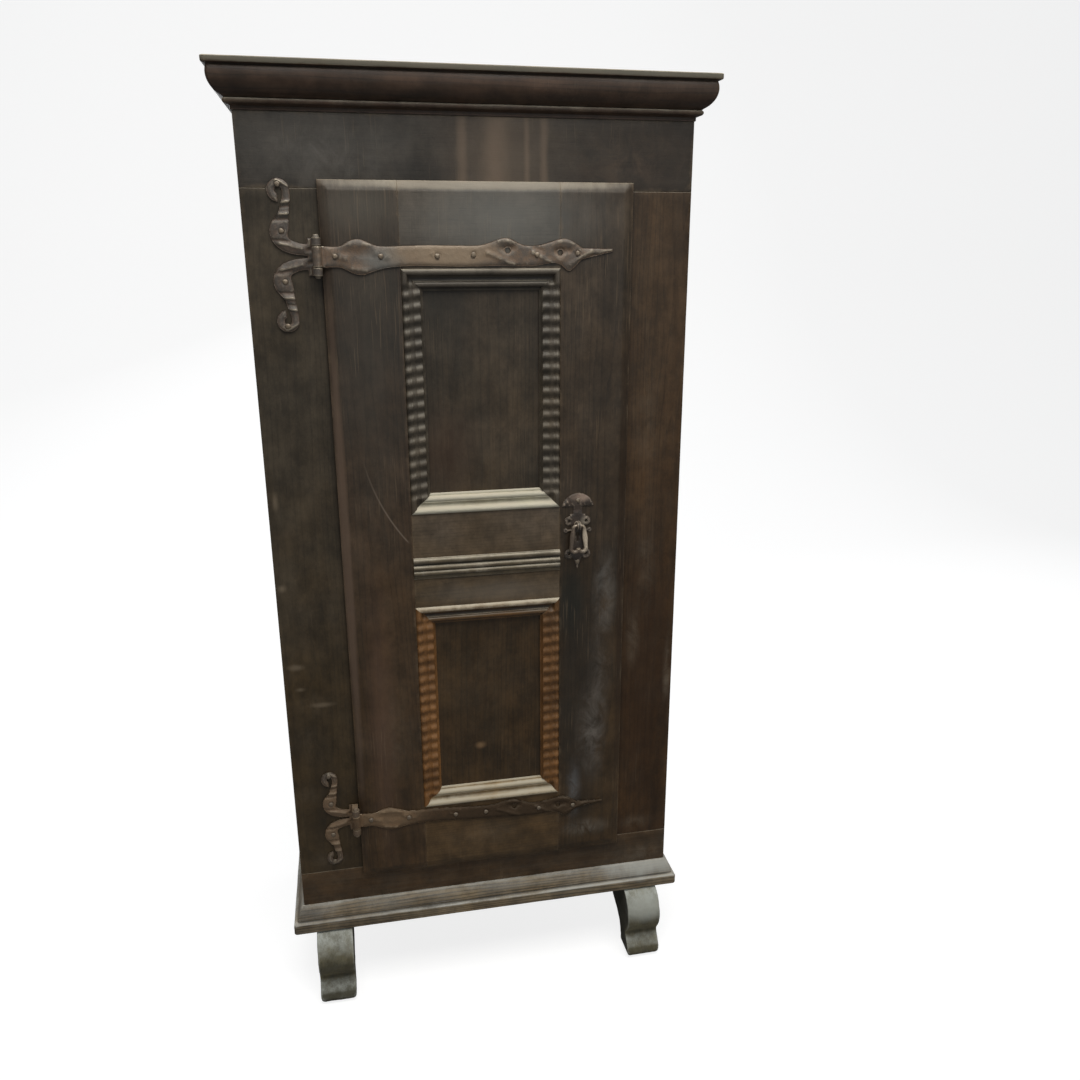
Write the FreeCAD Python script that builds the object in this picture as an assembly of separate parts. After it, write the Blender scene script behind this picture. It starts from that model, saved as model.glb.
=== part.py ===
import FreeCAD, Part
import math
import os

# Bonnetiere: a narrow one-door cupboard of oak frames and panels, with wrought-iron
# strap hinges, a pierced lock plate and two scrolled front feet.
#
# +Z is up, the front looks along -Y, +X is to the viewer's right.
# The origin is the middle of the ground that the cupboard covers, between the feet.
# All sizes are in millimetres.

# ---- overall sizes -------------------------------------------------------------------
body_width = 800.0
body_depth = 440.0
foot_height = 160.0
base_height = 56.0
front_height = 1550.0          # from the base moulding up to the cornice
cornice_height = 74.0

# ---- carcass timbers -----------------------------------------------------------------
board = 28.0                   # thickness of every frame timber
frieze_height = 120.0
bottom_rail_height = 77.0
hinge_jamb_width = 142.0
lock_jamb_width = 128.0
side_stile_width = 62.0
post_width = 45.0              # square rear corner posts
side_top_rail = 120.0
side_middle_rail = 90.0
side_bottom_rail = 100.0
side_middle_height = 780.0     # underside of the middle side rail above the base
back_rail_thickness = 24.0
back_rail_heights = (80.0, 90.0, 120.0)   # bottom, middle, top
back_board_thickness = 12.0
back_board_count = 5
back_board_gap = 1.0
top_board_thickness = 14.0
top_board_rest = 14.0          # width of rail that carries the top board
tenon_thickness = 9.0
tenon_length = 40.0
tenon_shoulder = 20.0
post_tenon_length = 24.0
tenon_wall = 2.5               # wood left in a post between tenons from two sides
side_panel_thickness = 10.0
side_panel_recess = 9.0
groove_depth = 10.0
panel_play = 1.0               # room for a panel to swell in its groove

# ---- inside --------------------------------------------------------------------------
shelf_count = 3
shelf_thickness = 18.0
shelf_setback = 46.0           # from the front plane of the carcass
floor_drop = 5.0               # floor boards below the lower edge of the doorway
cleat_width = 22.0
cleat_height = 24.0
fit_gap = 0.5                  # loose fit of boards between fixed timbers

# ---- cornice and base mouldings ------------------------------------------------------
cornice_projection = 38.0
cornice_fascia = 17.0
cornice_step = 6.0
cornice_ovolo_drop = 36.0
cornice_neck = 13.0            # projection of the small bead under the ovolo
cornice_bead = 9.0
cornice_fillet = 8.0
cornice_slope = 2.0            # small slopes between the members
cornice_swell = 3.0            # the ovolo's belly inside its upper edge
base_projection = 23.0
base_fascia = 24.0
base_groove = 4.0
base_slope_projection = 15.0
base_slope_start = 3.0
base_slope_hollow = 4.0
base_fascia_round = 3.0

# ---- feet ----------------------------------------------------------------------------
foot_width = 76.0
foot_inset = 22.0              # outer side of a foot, inside the body side
foot_knee = 58.0               # how far the knee stands out before the front plane
foot_knee_height = 106.0
foot_neck = 10.0
foot_waist = 37.0
foot_waist_height = 56.0
foot_waist_bend = 14.0         # height of the tight bend on each side of the waist
foot_waist_swell = 8.0
foot_toe = 56.0
foot_toe_height = 22.0
foot_toe_round = 13.0
foot_heel = 2.0
foot_heel_round = 11.0
foot_reach = 118.0             # how far the foot runs back under the base
foot_bracket_height = 125.0    # underside of the bracket at its far end
foot_tenon_radius = 16.0
foot_tenon_height = 40.0
rear_foot_depth = 92.0
rear_foot_setback = 4.0
rear_tenon_inset = 12.0        # wood between the rear tenons and the back rail of the base
block_depth = 92.0

# ---- door ----------------------------------------------------------------------------
door_thickness = 30.0
door_proud = 16.0              # door face in front of the carcass front
door_lap = 14.0                # how far the lip covers the frame
door_face_gap = 0.6            # between the lip and the frame
door_side_gap = 2.0
door_bevel_width = 18.0
door_bevel_depth = 7.0
hinge_stile_width = 134.0
lock_stile_width = 136.0
door_top_rail = 146.0
door_upper_panel = 448.0
door_middle_rail = 189.0
door_bottom_rail = 152.0
panel_thickness = 9.0
panel_recess = 12.0

# ---- mouldings planted on the door ---------------------------------------------------
frame_width = 38.0
frame_rise = 17.0              # outer bead above the panel
frame_edge_round = 3.0
frame_bead = 11.0
frame_bead_fall = 4.0          # inner edge of the outer bead below its crest
frame_hollow_sag = 0.5
frame_inner_bead = 10.5
frame_inner_rise = 9.0
frame_edge = 4.5               # width of the thin inner edge
frame_edge_rise = 4.0
ripple_pitch = 22.0
ripple_depth = 4.0
ripple_radius = 6.0
waist_moulding_height = 42.0
waist_moulding_drop = 87.0     # from the upper panel opening down to its top edge
waist_moulding_rise = 7.0
waist_moulding_edge = 2.8

# ---- strap hinges --------------------------------------------------------------------
iron = 4.0                     # thickness of the wrought plates
knuckle_radius = 8.0
knuckle_height = 14.0          # of each outer knuckle
hinge_pin_radius = 4.0
pin_play = 0.05                # radial running clearance
knuckle_gap = 0.4
pivot_offset = 7.0             # pivot outside the edge of the door
pin_head_radius = 6.5
pin_head_height = 5.0
pin_foot_radius = 5.5
pin_foot_height = 4.0
upper_hinge_rise = 21.0        # its middle above the upper panel opening
lower_hinge_drop = 12.0        # its middle below the bottom of the lower panel opening
lower_hinge_scale = 0.86
lower_strap_droop = 3.2        # degrees
plate_scroll_radius = 12.5
plate_scroll_bar = 6.5
plate_scroll_gap = 2.0
plate_root = 16.0              # from the pivot back to the arms
plate_clearance = 2.0          # between the plate and the door's edge
knuckle_neck = 7.0             # half width of the necks behind the knuckles

# Edges of the upper strap: distance from the pivot, height above its middle line. Past the
# leaf near the pivot they stretch, so that the last lobe stays on the lock stile.
strap_leaf_end = 134.0
strap_span = 429.0             # from the pivot to the edge of the lock stile in this outline
strap_top = [(0, 17), (20, 17), (40, 18), (57, 27), (72, 29), (96, 20), (134, 17.5), (249, 18),
             (293, 21), (313, 28), (332, 31), (355, 21), (389, 19), (415, 26), (437, 30), (457, 22),
             (469, 13.5)]
strap_bottom = [(469, -6), (461, -13), (443, -26), (431, -17), (389, -16), (345, -17), (249, -17.5),
                (134, -17.5), (95, -25), (75, -31), (57, -27), (40, -19), (20, -18), (0, -18)]
strap_tip_length = 526.0
strap_tip_rise = 10.0
strap_tip_height = 5.0
strap_nails = [(30, 0), (108, 0), (206, 0), (270, 2), (385, 2), (460, 4)]
strap_eyes = [(332, 10), (428, 6)]
strap_eye_radius = 5.0

# Middle line of one arm of the frame plate: distance left of the pivot, height, half width.
plate_arm = [(4, 10, 9), (22, 12, 10), (42, 16, 11), (57, 26, 13), (61, 41, 15.5), (57, 55, 14),
             (52, 67, 9.5), (49, 80, 8), (45, 97, 6.5), (44.5, 108, 6.5)]
plate_nails = [(57, 42), (58, 117)]

# ---- nails ---------------------------------------------------------------------------
nail_radius = 2.0
nail_head_radius = 5.5
nail_head_top = 2.5            # radius of the head's flat top
nail_head_height = 2.6
nail_length = 20.0
nail_play = 0.05
back_nail_share = 0.2          # from each board's edge, as a share of its width

# ---- lock plate, pull and lock -------------------------------------------------------
lock_plate_thickness = 2.5
lock_plate_height = 157.0
lock_plate_gap = 3.0           # between its fan and the edge of the panel opening
lock_plate_drop = 52.5         # its middle below the upper panel opening
lock_plate_fan_radius = 33.0
lock_plate_fan_base = 52.5     # flat underside of the fan, above the plate's middle
lock_plate_neck = 9.0          # half width of the neck and of the tail
lock_plate_shoulder = 36.5     # top of the plate's body
lock_plate_foot = 53.0         # bottom of the body, below the plate's middle
lock_plate_body = 16.0         # half width of the body at its ends
lock_plate_waist = 12.5        # half width of the body in its middle
lock_plate_lobes = [(17, 22.5, 9.5), (17, -45.5, 10)]      # side, height and radius
lock_plate_twig = (24, 3.5, 5)
lock_plate_eye = 3.0           # radius of the holes in the lobes
lock_plate_nails = [(0, 64), (0, -62)]
pull_height = 14.5             # pull pivot above the middle of the lock plate
pull_bar_radius = 3.0
pull_limb_radius = 4.0
pull_bar_half = 5.0
pull_corner_radius = 6.0
pull_lobe_radius = 7.5
pull_drop = 46.0
pull_eye_radius = 7.5
pull_eye_width = 7.0
pull_rose_radius = 8.0
pull_rose_height = 2.0
pull_eye_stand = 1.5           # between the eye and the lock plate
pull_shank_radius = 3.5
pull_shank_end = 2.0           # clenched end behind the door
keyhole_radius = 4.5
keyhole_slot_width = 3.6
keyhole_slot_drop = 14.0
keyhole_drop = 5.5             # below the middle of the lock plate
lock_case_height = 96.0
lock_case_room = 2.0           # between the bolt and the back of the case
lock_sheet = 2.0
lock_case_edge = 20.0          # from the door's closing edge
lock_case_left = 26.0          # from the keyhole to the case's inner side
bolt_thickness = 6.0
bolt_height = 20.0
bolt_throw = 14.0
bolt_play = 0.3
bolt_rise = 10.0               # underside of the bolt above the keyhole
bolt_stand = 1.0               # end of the drawn bolt before the case
bolt_notch_width = 14.0
bolt_notch_depth = 5.0
bolt_behind_jamb = 2.0
spring_thickness = 1.5
spring_width = 5.0
spring_bow = 12.0
spring_setback = 8.0           # its free end from the case's outer side
keeper_wall = 2.5
keeper_width = 16.0
keeper_offset = 3.0
keeper_play = 1.0              # round the bolt
keeper_tab = 14.0

# ---- how far cutting tools run past a surface ----------------------------------------
past = 1.0

# ---- planes and levels worked out from the sizes -------------------------------------
total_depth = foot_knee + body_depth + nail_head_height
front = -total_depth / 2 + foot_knee          # y of the carcass front
back = front + body_depth
left = -body_width / 2
right = body_width / 2
base_bottom = foot_height
base_top = base_bottom + base_height
body_top = base_top + front_height
doorway_left = left + hinge_jamb_width
doorway_right = right - lock_jamb_width
doorway_bottom = base_top + bottom_rail_height
doorway_top = body_top - frieze_height

door_left = doorway_left - door_lap
door_right = doorway_right + door_lap
door_bottom = doorway_bottom - door_lap
door_top = doorway_top + door_lap
door_front = front - door_proud
door_back = door_front + door_thickness
panel_left = door_left + hinge_stile_width
panel_right = door_right - lock_stile_width
upper_panel_top = door_top - door_top_rail
upper_panel_bottom = upper_panel_top - door_upper_panel
lower_panel_top = upper_panel_bottom - door_middle_rail
lower_panel_bottom = door_bottom + door_bottom_rail
panel_front = door_front + panel_recess

pivot_x = door_left - pivot_offset
pivot_y = door_front - knuckle_radius
upper_hinge_z = upper_panel_top + upper_hinge_rise
lower_hinge_z = lower_panel_bottom - lower_hinge_drop

plate_x = panel_right + lock_plate_gap + lock_plate_fan_radius
plate_z = upper_panel_bottom - lock_plate_drop
pull_z = plate_z + pull_height
lock_plate_front = door_front - lock_plate_thickness
pull_y = lock_plate_front - pull_eye_stand - pull_eye_radius
keyhole_z = plate_z - keyhole_drop
bolt_bottom = keyhole_z + bolt_rise
bolt_top = bolt_bottom + bolt_height
bolt_front = front + board + bolt_behind_jamb
bolt_back = bolt_front + bolt_thickness
lock_case_right = door_right - lock_case_edge
lock_case_bottom = plate_z - lock_case_height / 2

post_left = left + post_width
post_right = right - post_width
post_front = back - post_width
back_rail_back = back - back_board_thickness
back_rail_front = back_rail_back - back_rail_thickness
side_frame_front = front + board + side_stile_width
back_tenon_end = left + (board + tenon_thickness) / 2 + tenon_wall
floor_top = doorway_bottom - floor_drop

X = FreeCAD.Vector(1, 0, 0)
Y = FreeCAD.Vector(0, 1, 0)
Z = FreeCAD.Vector(0, 0, 1)

parts = {}


# ---- plain shapes --------------------------------------------------------------------
def vec(x, y, z):
    return FreeCAD.Vector(x, y, z)


def box(x0, x1, y0, y1, z0, z1):
    return Part.makeBox(x1 - x0, y1 - y0, z1 - z0, vec(x0, y0, z0))


def rod(radius, start, axis, length):
    return Part.makeCylinder(radius, length, start, axis)


def fused(shapes):
    whole = shapes[0]
    for shape in shapes[1:]:
        whole = whole.fuse(shape)
    return whole.removeSplitter()


def mirrored(shape):
    """The same piece on the other side of the cupboard."""
    return shape.mirror(vec(0, 0, 0), X)


def polygon(points):
    return Part.Face(Part.makePolygon(points + [points[0]]))


def spline(points):
    curve = Part.BSplineCurve()
    curve.interpolate(points)
    return curve.toShape()


def line(start, end):
    return Part.makeLine(start, end)


def arc(start, middle, end):
    return Part.Arc(start, middle, end).toShape()


def face(edges):
    return Part.Face(Part.Wire(edges))


def front_outline(points, y):
    """Points of an outline (x, z) set in the vertical plane at y."""
    return [vec(x, y, z) for x, z in points]


# ---- nails ---------------------------------------------------------------------------
def nail(x, y, z, length):
    """A hand-forged nail driven straight back, its head resting on the plane y."""
    head = Part.makeCone(nail_head_radius, nail_head_top, nail_head_height, vec(x, y, z), -Y)
    return fused([head, rod(nail_radius, vec(x, y, z), Y, length)])


def nail_hole(x, y, z, length):
    return rod(nail_radius + nail_play, vec(x, y, z), Y, length)


def cut_holes(names, holes):
    """Bore the same holes through each named part."""
    tool = Part.makeCompound(holes)
    for name in names:
        parts[name] = parts[name].cut(tool)


# ---- mouldings -----------------------------------------------------------------------
def moulding_front(profile_edges, inner, outer, z0, z1):
    """A moulding along the front, mitred at both corners of the body.

    The profile lies in the plane x = 0; it runs from the inner line inside the front plane
    out to the outer line before it.
    """
    reach = body_width / 2 + outer
    run = face(profile_edges)
    run.translate(vec(-reach, 0, 0))
    run = run.extrude(vec(2 * reach, 0, 0))
    plan = polygon([vec(left - outer, front - outer, z0), vec(right + outer, front - outer, z0),
                    vec(right - inner, front + inner, z0), vec(left + inner, front + inner, z0)])
    return run.common(plan.extrude(vec(0, 0, z1 - z0)))


def moulding_side(profile_edges, inner, outer, z0, z1):
    """The return of the same moulding along the left side, square at the back."""
    run = face(profile_edges)
    corner = vec(0, front, 0)
    run.rotate(corner, Z, -90)
    run.translate(vec(left, 0, 0))
    run.translate(vec(0, -outer, 0))
    run = run.extrude(vec(0, body_depth + outer, 0))
    plan = polygon([vec(left - outer, front - outer, z0), vec(left + inner, front + inner, z0),
                    vec(left + inner, back, z0), vec(left - outer, back, z0)])
    return run.common(plan.extrude(vec(0, 0, z1 - z0)))


def cornice_profile():
    """Section of the cornice: fascia, ovolo, small bead and fillet, from the top down."""
    def at(out, height):
        return vec(0, front - out, body_top + height)

    fascia_bottom = cornice_height - cornice_fascia
    ovolo_top = fascia_bottom - cornice_slope
    ovolo_out = cornice_projection - cornice_step
    ovolo_bottom = ovolo_top - cornice_ovolo_drop
    bead_bottom = cornice_fillet
    bead_top = bead_bottom + cornice_bead
    bead_back = cornice_neck - cornice_slope
    swell = at(ovolo_out - cornice_swell, (ovolo_bottom + ovolo_top) / 2)
    return [line(at(-top_board_rest, 0), at(-top_board_rest, cornice_height)),
            line(at(-top_board_rest, cornice_height), at(cornice_projection, cornice_height)),
            line(at(cornice_projection, cornice_height), at(cornice_projection, fascia_bottom)),
            line(at(cornice_projection, fascia_bottom), at(ovolo_out, ovolo_top)),
            arc(at(ovolo_out, ovolo_top), swell, at(cornice_neck, ovolo_bottom)),
            line(at(cornice_neck, ovolo_bottom), at(bead_back, bead_top)),
            arc(at(bead_back, bead_top), at(cornice_neck, (bead_bottom + bead_top) / 2),
                at(bead_back, bead_bottom)),
            line(at(bead_back, bead_bottom), at(cornice_slope, bead_bottom - cornice_slope)),
            line(at(cornice_slope, bead_bottom - cornice_slope), at(cornice_slope, 0)),
            line(at(cornice_slope, 0), at(-top_board_rest, 0))]


def base_profile():
    """Section of the base moulding: a hollow slope, a groove and a rounded fascia."""
    def at(out, height):
        return vec(0, front - out, base_bottom + height)

    groove_top = base_fascia + base_groove
    slope_middle = at(base_slope_projection - base_slope_hollow, (groove_top + base_height) / 2)
    fascia_edge = base_projection - base_fascia_round
    return [line(at(-board, 0), at(-board, base_height)),
            line(at(-board, base_height), at(base_slope_start, base_height)),
            arc(at(base_slope_start, base_height), slope_middle, at(base_slope_projection, groove_top)),
            line(at(base_slope_projection, groove_top), at(base_slope_projection, base_fascia)),
            line(at(base_slope_projection, base_fascia), at(fascia_edge, base_fascia)),
            arc(at(fascia_edge, base_fascia), at(base_projection, base_fascia / 2), at(fascia_edge, 0)),
            line(at(fascia_edge, 0), at(-board, 0))]


# ---- carcass -------------------------------------------------------------------------
def middle_range(near, thickness):
    """The tenon's share of a timber's thickness, from its nearer face."""
    start = near + (thickness - tenon_thickness) / 2
    return start, start + tenon_thickness


def build_front_frame():
    """Frieze and bottom rail across the whole front, with the jambs tenoned between them."""
    frieze = box(left, right, front, front + board, doorway_top, body_top)
    rail = box(left, right, front, front + board, base_top, doorway_bottom)
    t0, t1 = middle_range(front, board)
    for name, x0, x1 in (("front_stile_left", left, doorway_left),
                         ("front_stile_right", doorway_right, right)):
        tenon = box(x0 + tenon_shoulder, x1 - tenon_shoulder, t0, t1,
                    doorway_bottom - tenon_length, doorway_top + tenon_length)
        frieze = frieze.cut(tenon)
        rail = rail.cut(tenon)
        parts[name] = fused([box(x0, x1, front, front + board, doorway_bottom, doorway_top), tenon])
    parts["frieze_rail"] = frieze
    parts["bottom_rail"] = rail


def side_rail_levels():
    middle = base_top + side_middle_height
    return ((base_top, base_top + side_bottom_rail),
            (middle, middle + side_middle_rail),
            (body_top - side_top_rail, body_top))


def back_rail_levels():
    middle = base_top + side_middle_height
    return ((base_top, base_top + back_rail_heights[0]),
            (middle, middle + back_rail_heights[1]),
            (body_top - back_rail_heights[2], body_top))


def build_side_frames():
    """Left side: stile, rear post, three rails and two panels; the right side mirrors it."""
    x0 = left
    x1 = left + board
    t0, t1 = middle_range(x0, board)
    stile = box(x0, x1, front + board, side_frame_front, base_top, body_top)
    post = box(x0, post_left, post_front, back, base_top, body_top)
    rails = []
    levels = side_rail_levels()
    for z0, z1 in levels:
        tenons = box(t0, t1, side_frame_front - tenon_length, post_front + post_tenon_length,
                     z0 + tenon_shoulder, z1 - tenon_shoulder)
        stile = stile.cut(tenons)
        post = post.cut(tenons)
        rails.append(fused([box(x0, x1, side_frame_front, post_front, z0, z1), tenons]))
    panels = []
    p0 = x0 + side_panel_recess
    p1 = p0 + side_panel_thickness
    for lower, upper in ((0, 1), (1, 2)):
        z0 = levels[lower][1]
        z1 = levels[upper][0]
        groove = box(p0, p1, side_frame_front - groove_depth, post_front + groove_depth,
                     z0 - groove_depth, z1 + groove_depth)
        stile = stile.cut(groove)
        post = post.cut(groove)
        rails = [rail.cut(groove) for rail in rails]
        tongue = groove_depth - panel_play
        panels.append(box(p0, p1, side_frame_front - tongue, post_front + tongue,
                          z0 - tongue, z1 + tongue))
    t0, t1 = middle_range(back_rail_front, back_rail_thickness)
    for z0, z1 in back_rail_levels():
        post = post.cut(box(back_tenon_end, post_left, t0, t1,
                            z0 + tenon_shoulder, z1 - tenon_shoulder))
    for name, solids in (("side_stile", [stile]), ("rear_post", [post]),
                         ("side_rails", rails), ("side_panels", panels)):
        parts[name + "_left"] = Part.makeCompound(solids)
        parts[name + "_right"] = Part.makeCompound([mirrored(solid) for solid in solids])


def build_back():
    """Three rails tenoned into the rear posts, with upright boards nailed behind them."""
    t0, t1 = middle_range(back_rail_front, back_rail_thickness)
    rails = []
    for z0, z1 in back_rail_levels():
        tenons = box(back_tenon_end, -back_tenon_end, t0, t1,
                     z0 + tenon_shoulder, z1 - tenon_shoulder)
        rails.append(fused([box(post_left, post_right, back_rail_front, back_rail_back, z0, z1), tenons]))
    parts["back_rails"] = Part.makeCompound(rails)
    step = (post_right - post_left + back_board_gap) / back_board_count
    boards = []
    for index in range(back_board_count):
        x0 = post_left + index * step
        boards.append(box(x0, x0 + step - back_board_gap, back_rail_back, back, base_top, body_top))
    parts["back_boards"] = Part.makeCompound(boards)


def shelf_tops():
    """Levels of the floor and the shelves, evenly spaced up to the top board."""
    step = (body_top - floor_top) / (shelf_count + 1)
    return [floor_top + step * index for index in range(shelf_count + 1)]


def shelf_board(top, front_edge):
    """A board notched round both rear posts."""
    reach = -(left + board) - fit_gap
    plate = box(-reach, reach, front_edge, back_rail_front - fit_gap, top - shelf_thickness, top)
    for x0, x1 in ((-reach, post_left + fit_gap), (post_right - fit_gap, reach)):
        plate = plate.cut(box(x0, x1, post_front - fit_gap, back, top - shelf_thickness, top))
    return plate


def build_inside():
    levels = shelf_tops()
    parts["floor_board"] = shelf_board(levels[0], front + board)
    for name, level in zip(("shelf_lower", "shelf_middle", "shelf_upper"), levels[1:]):
        parts[name] = shelf_board(level, front + shelf_setback)
    cleats = []
    for level in levels:
        z1 = level - shelf_thickness
        cleat = box(left + board, left + board + cleat_width, front + shelf_setback, post_front,
                    z1 - cleat_height, z1)
        cleats += [cleat, mirrored(cleat)]
    parts["shelf_cleats"] = Part.makeCompound(cleats)
    edge = top_board_rest + fit_gap
    parts["top_board"] = box(left + edge, right - edge, front + edge, back,
                             body_top, body_top + top_board_thickness)


def build_mouldings():
    z1 = body_top + cornice_height
    parts["cornice_front"] = moulding_front(cornice_profile(), top_board_rest, cornice_projection,
                                            body_top, z1)
    side = moulding_side(cornice_profile(), top_board_rest, cornice_projection, body_top, z1)
    parts["cornice_left"] = side
    parts["cornice_right"] = mirrored(side)
    parts["base_moulding_front"] = moulding_front(base_profile(), board, base_projection,
                                                  base_bottom, base_top)
    side = moulding_side(base_profile(), board, base_projection, base_bottom, base_top)
    parts["base_moulding_left"] = side
    parts["base_moulding_right"] = mirrored(side)
    parts["base_back_rail"] = box(left + board, right - board, back - board, back,
                                  base_bottom, base_top)


# ---- feet ----------------------------------------------------------------------------
def foot_profile(x):
    """Side view of a front foot: neck, knee, waist and toe, with the bracket behind."""
    def at(out, height):
        return vec(x, front - out, height)

    knee_top = foot_knee_height + (foot_height - foot_knee_height) * 0.65
    front_curve = spline([at(foot_neck, foot_height), at(foot_knee * 0.76, knee_top),
                          at(foot_knee, foot_knee_height),
                          at(foot_waist + foot_waist_swell, foot_waist_height + foot_waist_bend),
                          at(foot_waist, foot_waist_height),
                          at(foot_waist + foot_waist_swell, foot_waist_height - foot_waist_bend),
                          at(foot_toe, foot_toe_height)])
    toe_front = foot_toe - foot_toe_round
    toe_round = arc(at(foot_toe, foot_toe_height), at(foot_toe - foot_toe_round * 0.2, foot_toe_height / 4),
                    at(toe_front, 0))
    heel_back = foot_heel + foot_heel_round
    bend = foot_heel_round * (1 - math.cos(math.pi / 4))
    heel_round = arc(at(heel_back, 0), at(foot_heel + bend, bend), at(foot_heel, foot_heel_round))
    back_curve = spline([at(foot_heel, foot_heel_round),
                         at(-foot_reach * 0.16, foot_bracket_height * 0.46),
                         at(-foot_reach * 0.62, foot_bracket_height * 0.68),
                         at(-foot_reach, foot_bracket_height), at(-foot_reach, foot_height)])
    return face([front_curve, toe_round, line(at(toe_front, 0), at(heel_back, 0)),
                 heel_round, back_curve, line(at(-foot_reach, foot_height), at(foot_neck, foot_height))])


def build_feet():
    """Front feet are scrolled brackets; rear feet are plain blocks. Each has a round tenon."""
    x0 = left + foot_inset
    x1 = x0 + foot_width
    middle = (x0 + x1) / 2
    front_tenon_y = front + board + block_depth / 2
    rear_tenon_y = back - board - rear_tenon_inset - foot_tenon_radius
    front_foot = fused([foot_profile(x0).extrude(vec(foot_width, 0, 0)),
                        rod(foot_tenon_radius, vec(middle, front_tenon_y, foot_height), Z,
                            foot_tenon_height)])
    rear_foot = fused([box(x0, x1, back - rear_foot_setback - rear_foot_depth,
                           back - rear_foot_setback, 0, foot_height),
                       rod(foot_tenon_radius, vec(middle, rear_tenon_y, foot_height), Z,
                           foot_tenon_height)])
    socket = foot_tenon_radius + nail_play
    block_x1 = left + board + foot_width
    front_block = box(left + board, block_x1, front + board, front + board + block_depth,
                      base_bottom, base_top)
    front_block = front_block.cut(rod(socket, vec(middle, front_tenon_y, base_bottom), Z,
                                      foot_tenon_height + fit_gap))
    rear_block = box(left + board, block_x1, back - board - block_depth, back - board,
                     base_bottom, base_top)
    rear_block = rear_block.cut(rod(socket, vec(middle, rear_tenon_y, base_bottom), Z,
                                    foot_tenon_height + fit_gap))
    parts["foot_front_left"] = front_foot
    parts["foot_front_right"] = mirrored(front_foot)
    parts["feet_rear"] = Part.makeCompound([rear_foot, mirrored(rear_foot)])
    parts["base_corner_blocks"] = Part.makeCompound([front_block, mirrored(front_block),
                                                     rear_block, mirrored(rear_block)])


# ---- door leaf -----------------------------------------------------------------------
def rectangle(x0, x1, z0, z1, y):
    corners = front_outline([(x0, z0), (x1, z0), (x1, z1), (x0, z1), (x0, z0)], y)
    return Part.makePolygon(corners)


def door_envelope():
    """The whole leaf: a bevelled lip that laps the frame, and a body that fills the doorway."""
    w = door_bevel_width
    edge_y = door_front + door_bevel_depth
    lip_back = front - door_face_gap
    bevel = Part.makeLoft([rectangle(door_left + w, door_right - w, door_bottom + w, door_top - w,
                                     door_front),
                           rectangle(door_left, door_right, door_bottom, door_top, edge_y)], True, True)
    lip = box(door_left, door_right, edge_y, lip_back, door_bottom, door_top)
    gap = door_side_gap
    body = box(doorway_left + gap, doorway_right - gap, lip_back, door_back,
               doorway_bottom + gap, doorway_top - gap)
    return fused([bevel, lip, body])


def build_door_leaf():
    """Two full-height stiles, three rails tenoned between them, two panels in grooves."""
    envelope = door_envelope()

    def cut_out(x0, x1, z0, z1):
        return envelope.common(box(x0, x1, door_front - past, door_back + past, z0, z1))

    t0 = panel_front
    t1 = panel_front + tenon_thickness
    stiles = [cut_out(door_left, panel_left, door_bottom, door_top),
              cut_out(panel_right, door_right, door_bottom, door_top)]
    rails = []
    for z0, z1 in ((upper_panel_top, door_top), (lower_panel_top, upper_panel_bottom),
                   (door_bottom, lower_panel_bottom)):
        tenons = box(panel_left - tenon_length, panel_right + tenon_length, t0, t1,
                     z0 + tenon_shoulder, z1 - tenon_shoulder)
        stiles = [stile.cut(tenons) for stile in stiles]
        rails.append(fused([cut_out(panel_left, panel_right, z0, z1), tenons]))
    panels = []
    tongue = groove_depth - panel_play
    for z0, z1 in ((upper_panel_bottom, upper_panel_top), (lower_panel_bottom, lower_panel_top)):
        groove = box(panel_left - groove_depth, panel_right + groove_depth, t0, t0 + panel_thickness,
                     z0 - groove_depth, z1 + groove_depth)
        stiles = [stile.cut(groove) for stile in stiles]
        rails = [rail.cut(groove) for rail in rails]
        panels.append(box(panel_left - tongue, panel_right + tongue, t0, t0 + panel_thickness,
                          z0 - tongue, z1 + tongue))
    parts["door_stile_hinge"], parts["door_stile_lock"] = stiles
    parts["door_rail_top"], parts["door_rail_middle"], parts["door_rail_bottom"] = rails
    parts["door_panel_upper"], parts["door_panel_lower"] = panels


def frame_profile(at):
    """Section of a panel frame: outer bead, hollow, inner bead and a thin edge on the panel."""
    inner_end = frame_width - frame_edge
    hollow_end = inner_end - frame_inner_bead
    bead_foot = at(frame_bead, frame_rise - frame_bead_fall)
    hollow_foot = at(hollow_end, frame_inner_rise)
    inner_foot = at(inner_end, frame_edge_rise + frame_hollow_sag)
    return [line(at(0, 0), at(0, frame_rise - frame_edge_round)),
            arc(at(0, frame_rise - frame_edge_round), at(frame_bead / 2, frame_rise), bead_foot),
            arc(bead_foot, at(frame_bead + (hollow_end - frame_bead) * 0.4,
                              frame_inner_rise - frame_hollow_sag), hollow_foot),
            arc(hollow_foot, at((hollow_end + inner_end) / 2, frame_inner_rise), inner_foot),
            line(inner_foot, at(frame_width, frame_edge_rise)),
            line(at(frame_width, frame_edge_rise), at(frame_width, 0)),
            line(at(frame_width, 0), at(0, 0))]


def frame_mitre(points):
    """A cutter the shape of one mitred side, standing on the panel."""
    return polygon(front_outline(points, panel_front)).extrude(vec(0, -frame_rise - past, 0))


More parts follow.
